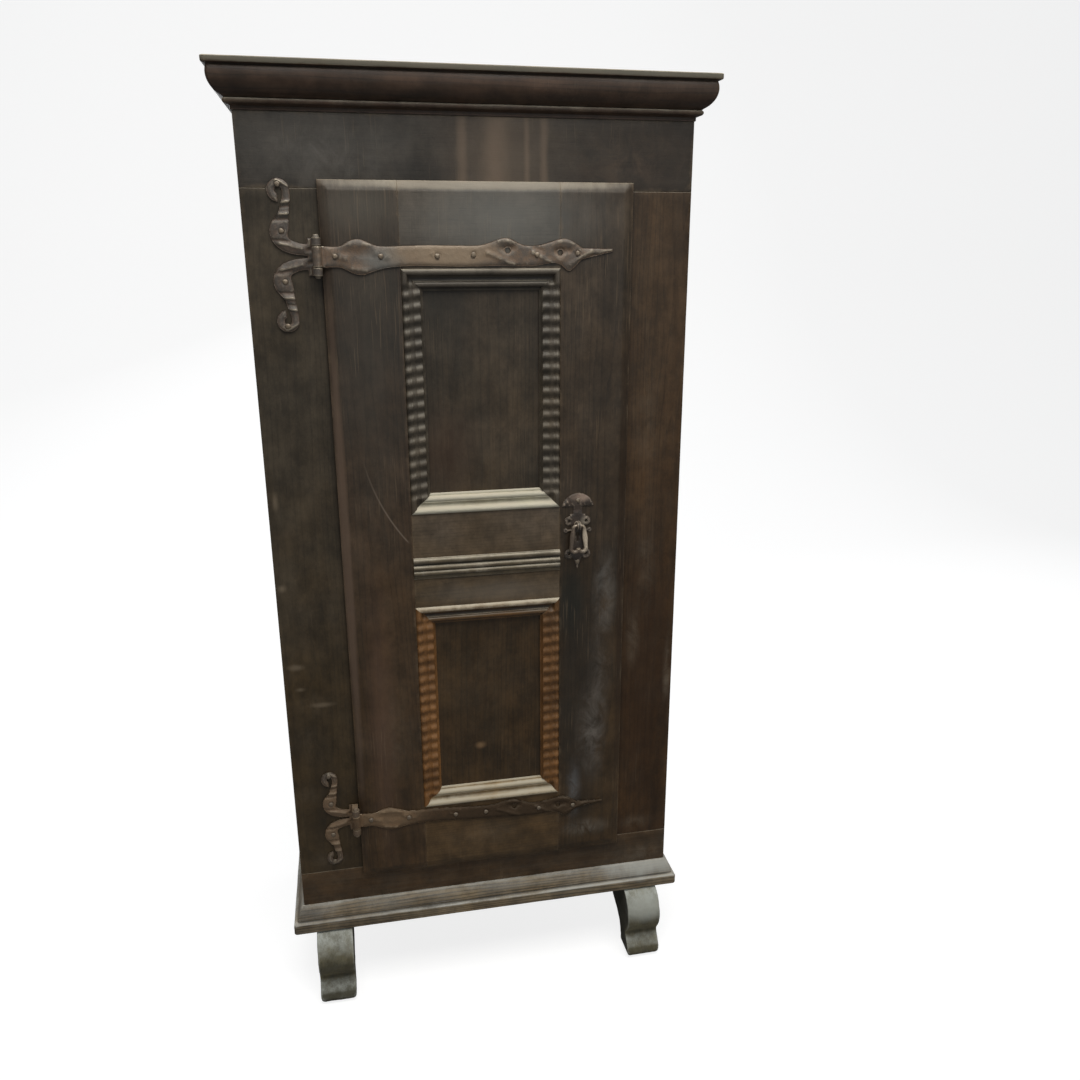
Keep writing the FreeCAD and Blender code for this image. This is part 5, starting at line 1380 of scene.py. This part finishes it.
class BONNETIERE_OT_panel_frames(bpy.types.Operator):
    """Build the mitred mouldings round both panels, rippled on the upright sides"""
    bl_idname = "bonnetiere.panel_frames"
    bl_label = "Panel mouldings"

    def execute(self, context):
        sizes = context.scene.bonnetiere_sizes
        width = sizes.moulding_width / MM
        pitch = sizes.ripple_pitch / MM
        section = panel_moulding_section(width)
        upper = oak("oak_upper_mouldings", dark=srgb(46, 40, 34), light=srgb(76, 67, 57), wear=0.4,
                    dust=0.38, film=0.03, worn=srgb(110, 102, 90), coat=0.1)
        lower = oak("oak_lower_mouldings", dark=srgb(68, 49, 32), light=srgb(120, 88, 60), wear=0.5,
                    dust=0.22, film=0.0, worn=srgb(136, 103, 72), coat=0.1)
        lower_top = oak("oak_lower_frame_top", dark=srgb(58, 42, 28), light=srgb(100, 76, 52), wear=0.9,
                        dust=1.0, film=0.03, worn=srgb(184, 170, 146), coat=0.1)
        # The bottom pieces face the overhead light: their pale finishes are lit copies of the frame's finish,
        # painted light as well as dust and lime.
        upper_lit_limed = oak("oak_upper_frame_bottom", dark=srgb(132, 128, 114), light=srgb(172, 168, 152),
                          wear=0.8, dust=1.0, film=0.55, worn=srgb(186, 181, 163), coat=0.05)
        lower_lit_limed = oak("oak_lower_frame_bottom", dark=srgb(96, 82, 64), light=srgb(142, 127, 104),
                          wear=0.75, dust=0.9, film=0.2, worn=srgb(184, 172, 148), coat=0.05)
        looks = {"upper": (upper, upper, upper_lit_limed, (-0.14, 0.0), 0.64),
                 "lower": (lower, lower_top, lower_lit_limed, (-0.06, 0.14), 0.5)}
        bare_sides = ((0.0,), (0.0,))
        # Exposure shifts across the width: on the top pieces, a painted highlight on the outer bead and
        # painted shade inward of it; on the bottom pieces, a rise all over that wears and dusts them paler,
        # partly painted light.
        top_lit_and_shaded = ((13.0, 17.0), (0.35, -0.6))
        bottom_worn_and_lit = ((0.0,), (0.9,))
        for name, (finish, top_finish, bottom_finish, leans, sharpness) in looks.items():
            z0, z1 = FRAME_LEVELS[name]
            low = (OPENING_LEFT, PANEL_FACE, z0)
            high = (OPENING_RIGHT, PANEL_FACE, z1)
            cuts = int((z1 - z0 - width) / pitch)
            sides = Piece("rippled_sides_" + name)
            for edge_name, lean, filling in (("left", leans[0], 5.2), ("right", leans[1], 7.4)):
                panel_moulding(sides, edge_name, low, high, section, bare_sides,
                               (pitch, sizes.ripple_depth / MM * sharpness, lean, filling, cuts))
            sides.made(finish, "door", "moulding_oak", name + "_moulding_sides", sharp=50)
            for edge_name, exposure_shift, looked in (("top", top_lit_and_shaded, top_finish),
                                                ("bottom", bottom_worn_and_lit, bottom_finish)):
                piece = Piece("moulding_" + edge_name + "_" + name)
                panel_moulding(piece, edge_name, low, high, section, exposure_shift)
                piece.made(looked, "door", "moulding_oak", name + "_moulding_" + edge_name, sharp=50)
        return {"FINISHED"}


class BONNETIERE_OT_waist_moulding(bpy.types.Operator):
    """Build the triple bead across the middle rail"""
    bl_idname = "bonnetiere.waist_moulding"
    bl_label = "Waist moulding"

    def execute(self, context):
        low, high = corners("waist_moulding")
        rise = high[1] - low[1]
        tall = high[2] - low[2]
        section = [(0, 0), (0, 2.4), (0.8, 2.8), (5.5, 3.2)]
        section += arc((11.2, rise - 4.6), (4.7, 4.4), 165, 15, 7)
        section += [(16.4, 2.6)]
        section += arc((21.6, rise - 4.8), (4.8, 4.8), 165, 15, 7)
        section += [(27.2, 1.6), (29.6, 1.4)]
        section += arc((35.6, rise - 5.0), (5.2, 4.8), 170, 10, 8)
        section += [(tall - 0.6, 1.6), (tall, 1.0), (tall, 0)]
        outline = np.array(section)
        finish = oak("oak_waist_moulding", dark=srgb(50, 45, 39), light=srgb(92, 84, 74), wear=0.7,
                     dust=1.0, film=0.05, worn=srgb(150, 142, 128), coat=0.1)
        rings = []
        for x in np.linspace(low[0], high[0], 60):
            place = np.stack((np.full(len(outline), x), outline[:, 0], outline[:, 1]), 1)
            planed = np.clip(0.4 * unevenness(place, 30, 6.0), 0, 1) * np.clip(outline[:, 1] / 3, 0, 1)
            rings.append(np.stack((np.full(len(outline), x), high[1] - outline[:, 1] + planed,
                                   low[2] + outline[:, 0]), 1))
        piece = Piece("bead_across_door")
        loft(piece, rings, np.tile(section_wear(section), (len(rings), 1)), "X")
        piece.made(finish, "door", "moulding_oak", "waist_moulding", sharp=50)
        return {"FINISHED"}


# ---- ironwork --------------------------------------------------------------------------
def iron_plane(node):
    """Front plane of a wrought plate: its back lies on the node's far side."""
    return corners(node)[1][1] - 4.0


# Chisel work of the upper hinge: from the pivot outward, and above its middle line.
STRAP_STROKES = (
    ((322, 13), (340, 14), 6.0, -2.4), ((296, 5), (342, -14), 4.6, 1.7), ((316, 26), (342, 27), 4.5, 0.8),
    ((420, 9), (444, 9), 6.0, -2.4), ((378, 6), (420, -16), 4.6, 1.7), ((381, 13), (392, 11), 4.5, -1.5),
    ((426, 25), (452, 22), 4.5, 0.8), ((446, -14), (486, 9), 4.5, 1.3), ((488, 0), (496, -1), 4.0, -1.5),
    ((44, 20), (90, 19), 5.5, 1.2), ((30, 2), (46, -3), 6.0, 1.6), ((60, -20), (82, -23), 4.5, 1.2),
    ((100, 5), (120, -2), 5.5, 1.2), ((52, 6), (92, 2), 7.0, -0.8), ((196, 4), (208, -2), 4.0, 0.8),
)
# Chisel work of one arm of the frame plate: left of the pivot, and up or down from the middle.
ARM_STROKES = (
    ((42, 70), (64, 69), 3.4, 2.3), ((44, 61), (70, 60), 3.0, -1.5), ((60, 48), (60, 34), 8.0, 1.1),
    ((46, 24), (74, 28), 3.2, -1.4), ((26, 13), (60, 22), 4.0, 1.7), ((40, 90), (56, 88), 3.0, 1.9),
    ((40, 82), (58, 80), 2.6, -1.2), ((36, 112), (60, 124), 3.0, 1.4), ((2, 10), (12, 11), 4.5, -2.2),
)
HINGES = {"upper": (1.0, 0.0), "lower": (0.86, math.radians(3.2))}    # scale and droop


def hinge_level(name):
    """Height of the middle of a hinge."""
    low, high = sorted(islands(joined_copy("hinge_pins")), key=lambda pair: pair[0][2])[name == "upper"]
    return (low[2] + high[2]) / 2


class BONNETIERE_OT_strap_hinges(bpy.types.Operator):
    """Forge the two strap hinges"""
    bl_idname = "bonnetiere.strap_hinges"
    bl_label = "Strap hinges"

    def execute(self, context):
        blue = (srgb(92, 92, 88), 0.75, (-0.17, -0.212, 1.53), (0.05, 0.03, 0.03), 0.7, 0.6)
        tan = (srgb(128, 110, 88), 0.8, (-0.06, -0.212, 1.54), (0.13, 0.03, 0.04), 0.7, 0.5)
        sunk = (srgb(62, 49, 36), 0.95, (0.1, -0.212, 0.4), (0.29, 0.03, 0.06), 0.5, 0.5)
        # Pale patch on the lower strap's left end: handled iron and partly a painted highlight.
        handled_and_lit = (srgb(126, 105, 82), 0.6, (-0.22, -0.212, 0.42), (0.1, 0.03, 0.05), 0.9, 0.8)
        finishes = {
            "upper": iron("iron_upper_strap", scale=srgb(82, 72, 62), rust=srgb(104, 82, 62),
                          rustiness=0.8, bare=srgb(142, 130, 112), patches=[blue, tan]),
            "lower": iron("iron_lower_strap", scale=srgb(82, 66, 50), rust=srgb(104, 78, 56),
                          rustiness=0.8, bare=srgb(140, 118, 94), metal=0.0, rough=0.7, shine=0.12,
                          patches=[sunk, handled_and_lit]),
        }
        for name, (scale, droop) in HINGES.items():
            node = "strap_hinge_" + name
            level = hinge_level(name)

            def drawing(x, z):
                along = (x - PIVOT_X) * math.cos(droop) - (z - level) * math.sin(droop)
                above = (x - PIVOT_X) * math.sin(droop) + (z - level) * math.cos(droop)
                return np.stack((along, above / scale), 1)

            forged("strap_" + name, finishes[name], "door", "wrought_iron", node, skin=1.15,
                   crown=(iron_plane(node), 1.9, 8.0, PIVOT_X + 12), strokes=(STRAP_STROKES, drawing))
        return {"FINISHED"}


class BONNETIERE_OT_frame_plates(bpy.types.Operator):
    """Forge the scrolled plates nailed to the frame, and the pins"""
    bl_idname = "bonnetiere.frame_plates"
    bl_label = "Hinge plates and pins"

    def execute(self, context):
        brown = (srgb(112, 88, 62), 0.75, (-0.32, -0.2, 0.42), (0.12, 0.04, 0.13), 0.6, 0.5)
        finish = iron("iron_plates", scale=srgb(68, 61, 54), rust=srgb(92, 74, 60), rustiness=0.7,
                      bare=srgb(130, 119, 103), patches=[brown])
        for name, (scale, _) in HINGES.items():
            node = "hinge_plate_" + name
            level = hinge_level(name)

            def drawing(x, z):
                return np.stack((PIVOT_X - x, np.abs(z - level)), 1) / scale

            forged("scroll_plate_" + name, finish, "carcass", "wrought_iron", node, skin=1.0,
                   crown=(iron_plane(node), 1.9, 7.0, corners(node)[0][0]), strokes=(ARM_STROKES, drawing))
        forged("pivot_pins", finish, "carcass", "wrought_iron", "hinge_pins", skin=0.8, depth=0.15, dent=4.0)
        return {"FINISHED"}


NAIL_SIDES = 14
NAIL_RADIUS, NAIL_HEIGHT = 4.9, 2.3
# From the shank to the top of the dome: share of the radius, share of the height, and exposure.
NAIL_RINGS = ((0.35, -3.0, 0), (0.36, 0.0, 0), (0.9, 0.02, -0.6), (1.0, 0.18, 0.1), (0.93, 0.5, 0.5),
              (0.7, 0.78, 0.7), (0.4, 0.95, 0.8), (0.16, 1.0, 0.8))


def nail_head(piece, middle, tip, toward):
    """A domed, hammered head on a short shank. Toward is -1 for a head that looks to the front."""
    turn = CHANCE.uniform(0, math.tau)
    sway = CHANCE.uniform(-0.4, 0.4), CHANCE.uniform(-0.4, 0.4)
    rings = []
    for share, rise, _ in NAIL_RINGS:
        ring = []
        for k in range(NAIL_SIDES):
            angle = turn + math.tau * k / NAIL_SIDES
            facet = 1 + 0.07 * math.cos(3 * angle + turn) - 0.05 * abs(math.sin(2.5 * angle))
            reach = NAIL_RADIUS * share * facet
            lift = max(rise, 0)
            ring.append((middle[0] + reach * math.cos(angle) + sway[0] * lift,
                         tip - toward * NAIL_HEIGHT * (1 - rise),
                         middle[2] + reach * math.sin(angle) + sway[1] * lift))
        rings.append(ring)
    wear = np.repeat([[exposure] for _, _, exposure in NAIL_RINGS], NAIL_SIDES, 1)
    loft(piece, rings, wear, "Z")


class BONNETIERE_OT_nails(bpy.types.Operator):
    """Drive the hand-forged nails of the ironwork and of the back boards"""
    bl_idname = "bonnetiere.nails"
    bl_label = "Nails"

    def execute(self, context):
        finish = iron("iron_nails", scale=srgb(88, 76, 64), rustiness=0.6, bare=srgb(124, 110, 92))
        for node, name, body in (("door_nails", "clenched_nails", "door"),
                                 ("frame_nails", "driven_nails", "carcass")):
            piece = Piece(name)
            for low, high in sorted_solids(node):
                behind = high[1] > BACK
                tip = high[1] if behind else low[1]
                nail_head(piece, (low + high) / 2, tip, 1 if behind else -1)
            piece.made(finish, body, "wrought_iron", node, sharp=60)
        return {"FINISHED"}


# Raised and sunk work of the lock plate, from its middle.
LOCK_PLATE_STROKES = (
    ((-13, 54), (-20, 68), 2.4, -1.1), ((0, 58), (0, 80), 2.2, -0.5), ((10, 56), (15, 74), 2.2, -0.5),
    ((-27, 57), (-21, 61), 4.0, 1.2), ((6, 60), (24, 62), 7.0, 1.2), ((-6, 45), (6, 45), 5.5, -1.0),
    ((-17, 24), (-15, 28), 6.0, 1.3), ((16, 26), (20, 22), 6.0, 1.3), ((-17, -47), (-15, -50), 6.0, 1.0),
    ((17, -47), (15, -50), 6.0, 1.0), ((0, 30), (0, 26), 5.0, -0.8), ((-4, -58), (4, -58), 4.0, -0.6),
)


class BONNETIERE_OT_lock_plate(bpy.types.Operator):
    """Pierce and raise the lock plate, and make the staple of the pull"""
    bl_idname = "bonnetiere.lock_plate"
    bl_label = "Lock plate"

    def execute(self, context):
        low, high = corners("lock_plate")
        middle = (low + high) / 2
        crest = (srgb(152, 130, 114), 0.7, (0.192, -0.21, 1.084), (0.03, 0.03, 0.013), 0.8, 1.2)
        shoulder = (srgb(150, 138, 122), 0.6, (0.2, -0.21, 1.035), (0.012, 0.03, 0.014), 0.8, 0.8)
        finish = iron("iron_lock_plate", scale=srgb(48, 40, 33), rust=srgb(76, 59, 47), rustiness=0.6,
                      bare=srgb(150, 134, 116), patches=[crest, shoulder])

        def drawing(x, z):
            return np.stack((x - middle[0], z - middle[2]), 1)

        forged("pierced_plate", finish, "door", "lock_iron", "lock_plate", skin=0.8, depth=0.3, dent=5.0,
               crown=(low[1], 0.9, 4.0, low[0]), strokes=(LOCK_PLATE_STROKES, drawing))
        forged("pull_staple", finish, "door", "lock_iron", "pull_post", skin=0.6, depth=0.15, dent=3.0)
        return {"FINISHED"}


class BONNETIERE_OT_pull(bpy.types.Operator):
    """Forge the drop pull"""
    bl_idname = "bonnetiere.pull"
    bl_label = "Drop pull"

    def execute(self, context):
        # Painted light: a pale highlight on the right limb of the pull, and painted shade on the left limb.
        handled_and_lit = (srgb(190, 175, 154), 0.8, (0.199, -0.222, 1.0), (0.012, 0.03, 0.034), 0.6, 0.4)
        shaded_limb = (srgb(74, 62, 52), 0.8, (0.17, -0.222, 1.0), (0.014, 0.03, 0.04), 0.7, 0.4)
        finish = iron("iron_pull", scale=srgb(100, 86, 72), rustiness=0.4, bare=srgb(170, 154, 134),
                      metal=0.4, rough=0.4, patches=[shaded_limb, handled_and_lit])
        low, high = corners("pull_ring")
        tall = high[2] - low[2]

        def limbs(points):
            """The two limbs are broadest a third of the way down, and slender at both ends."""
            share = np.clip((high[2] - points[:, 2]) / tall, 0, 1)
            return 1.9 * np.exp(-((share - 0.42) / 0.2) ** 2)

        forged("drop_pull", finish, "pull", "lock_iron", "pull_ring", skin=0.6, depth=0.25, dent=4.0,
               swelling=limbs)
        return {"FINISHED"}


class BONNETIERE_OT_lock(bpy.types.Operator):
    """Finish the lock behind the door and the keeper on the jamb"""
    bl_idname = "bonnetiere.lock"
    bl_label = "Lock"

    def execute(self, context):
        finish = iron("iron_lock", scale=srgb(70, 62, 54), rustiness=0.7)
        for node in ("lock_case", "lock_bolt", "lock_spring", "keeper"):
            softened_node(node, finish, 0.4)
        return {"FINISHED"}


# ---- stage -----------------------------------------------------------------------------
def area_light(name, place, target, size, power, colour):
    light = bpy.data.lights.new(name, "AREA")
    light.shape = "RECTANGLE"
    light.size, light.size_y = size
    light.energy = power
    light.color = colour
    obj = bpy.data.objects.new(name, light)
    obj.location = place
    obj.rotation_euler = (Vector(target) - Vector(place)).to_track_quat("-Z", "Y").to_euler()
    bpy.context.scene.collection.objects.link(obj)


def pale_floor():
    """A plain floor that curves up into a plain wall far behind."""
    half_width, front_edge, wall, bend, top, steps = 9.0, -7.0, 4.0, 1.5, 7.0, 16
    outline = [(front_edge, 0), (wall - bend, 0)]
    for k in range(1, steps + 1):
        angle = math.pi / 2 * k / steps
        outline.append((wall - bend + bend * math.sin(angle), bend * (1 - math.cos(angle))))
    outline.append((wall, top))
    points = [(x, y, z) for y, z in outline for x in (-half_width, half_width)]
    faces = [(2 * k, 2 * k + 1, 2 * k + 3, 2 * k + 2) for k in range(len(outline) - 1)]
    mesh = bpy.data.meshes.new("pale_floor")
    mesh.from_pydata(points, [], faces)
    mesh.shade_smooth()
    material, wires, shader = new_finish("pale_paper")
    shader.inputs["Base Color"].default_value = (0.3, 0.3, 0.3, 1)
    shader.inputs["Roughness"].default_value = 0.9
    lit = wires.node("ShaderNodeEmission", {"Color": (1.0, 1.0, 1.0), "Strength": 0.8})
    seen = wires.node("ShaderNodeLightPath").outputs["Is Camera Ray"]
    glow = wires.node("ShaderNodeMixShader", {0: seen, 2: lit.outputs[0]})
    both = wires.node("ShaderNodeAddShader", {0: shader.outputs[0], 1: glow.outputs[0]})
    wires.join(both.outputs[0], material.node_tree.nodes["Material Output"].inputs["Surface"])
    floor = bpy.data.objects.new("pale_floor", mesh)
    floor.data.materials.append(material)
    bpy.context.scene.collection.objects.link(floor)


def soft_room():
    """A dim cool room for the timber, and a white one for whoever looks past the floor."""
    world = bpy.data.worlds.new("soft_room")
    world.use_nodes = True
    wires = Wires(world.node_tree)
    dim = world.node_tree.nodes["Background"]
    dim.inputs["Color"].default_value = (0.9, 0.95, 1.0, 1)
    dim.inputs["Strength"].default_value = 0.2
    white = wires.node("ShaderNodeBackground", {"Color": (1.0, 1.0, 1.0), "Strength": 0.95})
    seen = wires.node("ShaderNodeLightPath").outputs["Is Camera Ray"]
    both = wires.node("ShaderNodeMixShader", {0: seen, 1: dim.outputs[0], 2: white.outputs[0]})
    wires.join(both.outputs[0], world.node_tree.nodes["World Output"].inputs["Surface"])
    return world


class BONNETIERE_OT_stage(bpy.types.Operator):
    """Set the floor, the lights and the camera"""
    bl_idname = "bonnetiere.stage"
    bl_label = "Stage"

    def execute(self, context):
        scene = context.scene
        stage = scene.bonnetiere_stage
        pale_floor()
        scene.world = soft_room()
        area_light("overhead", (0.15, -1.15, 3.3), (0, -0.1, 0.9), (2.2, 1.6), stage.key_power,
                   (1.0, 0.98, 0.94))
        area_light("before_front", (1.1, -3.9, 1.7), (0, 0, 0.6), (2.4, 2.4), stage.fill_power,
                   (0.95, 0.98, 1.0))
        area_light("behind", (-0.8, 3.2, 2.6), (0, 0.2, 1.0), (2.6, 2.6), stage.back_power, (0.96, 0.98, 1.0))
        for name, x in (("beside_right", 3.4), ("beside_left", -3.4)):
            area_light(name, (x, 1.4, 2.2), (0, 0.1, 0.9), (2.2, 2.2), stage.back_power / 2,
                       (0.98, 0.99, 1.0))
        scene.view_settings.view_transform = "Standard"
        camera = bpy.data.objects.new("camera", bpy.data.cameras.new("camera"))
        camera.data.sensor_width = 36.0
        camera.data.lens = stage.camera_lens
        camera.data.clip_start = 0.05
        camera.location = stage.camera_place
        camera.rotation_euler = (math.pi / 2 - stage.camera_tilt, stage.camera_roll, -stage.camera_turn)
        scene.collection.objects.link(camera)
        scene.camera = camera
        return {"FINISHED"}


PIECE_OPERATORS = (
    BONNETIERE_OT_front_frame, BONNETIERE_OT_side_frames, BONNETIERE_OT_back, BONNETIERE_OT_inside,
    BONNETIERE_OT_cornice, BONNETIERE_OT_base, BONNETIERE_OT_feet, BONNETIERE_OT_door_leaf,
    BONNETIERE_OT_door_panels, BONNETIERE_OT_panel_frames, BONNETIERE_OT_waist_moulding,
    BONNETIERE_OT_strap_hinges, BONNETIERE_OT_frame_plates, BONNETIERE_OT_nails,
    BONNETIERE_OT_lock_plate, BONNETIERE_OT_pull, BONNETIERE_OT_lock, BONNETIERE_OT_stage,
)


class BONNETIERE_PT_pieces(bpy.types.Panel):
    """Lists the sizes, colours and pieces of the bonnetiere"""
    bl_idname = "BONNETIERE_PT_pieces"
    bl_label = "Bonnetiere"
    bl_space_type = "VIEW_3D"
    bl_region_type = "UI"
    bl_category = "Bonnetiere"

    def draw(self, context):
        for group in (context.scene.bonnetiere_sizes, context.scene.bonnetiere_colours,
                      context.scene.bonnetiere_stage):
            column = self.layout.column(align=True)
            for name in group.bl_rna.properties.keys():
                if name not in ("rna_type", "name"):
                    column.prop(group, name)
        column = self.layout.column(align=True)
        for operator in PIECE_OPERATORS:
            column.operator(operator.bl_idname)


CLASSES = (BonnetiereSizes, BonnetiereColours, BonnetiereStage, *PIECE_OPERATORS, BONNETIERE_PT_pieces)


def register():
    for cls in CLASSES:
        bpy.utils.register_class(cls)
    bpy.types.Scene.bonnetiere_sizes = bpy.props.PointerProperty(type=BonnetiereSizes)
    bpy.types.Scene.bonnetiere_colours = bpy.props.PointerProperty(type=BonnetiereColours)
    bpy.types.Scene.bonnetiere_stage = bpy.props.PointerProperty(type=BonnetiereStage)


def unregister():
    del bpy.types.Scene.bonnetiere_stage
    del bpy.types.Scene.bonnetiere_colours
    del bpy.types.Scene.bonnetiere_sizes
    for cls in reversed(CLASSES):
        bpy.utils.unregister_class(cls)


def main():
    register()
    bpy.ops.bonnetiere.front_frame()
    bpy.ops.bonnetiere.side_frames()
    bpy.ops.bonnetiere.back()
    bpy.ops.bonnetiere.inside()
    bpy.ops.bonnetiere.cornice()
    bpy.ops.bonnetiere.base()
    bpy.ops.bonnetiere.feet()
    bpy.ops.bonnetiere.door_leaf()
    bpy.ops.bonnetiere.door_panels()
    bpy.ops.bonnetiere.panel_frames()
    bpy.ops.bonnetiere.waist_moulding()
    bpy.ops.bonnetiere.strap_hinges()
    bpy.ops.bonnetiere.frame_plates()
    bpy.ops.bonnetiere.nails()
    bpy.ops.bonnetiere.lock_plate()
    bpy.ops.bonnetiere.pull()
    bpy.ops.bonnetiere.lock()
    bpy.ops.bonnetiere.stage()


if __name__ == "__main__":
    main()
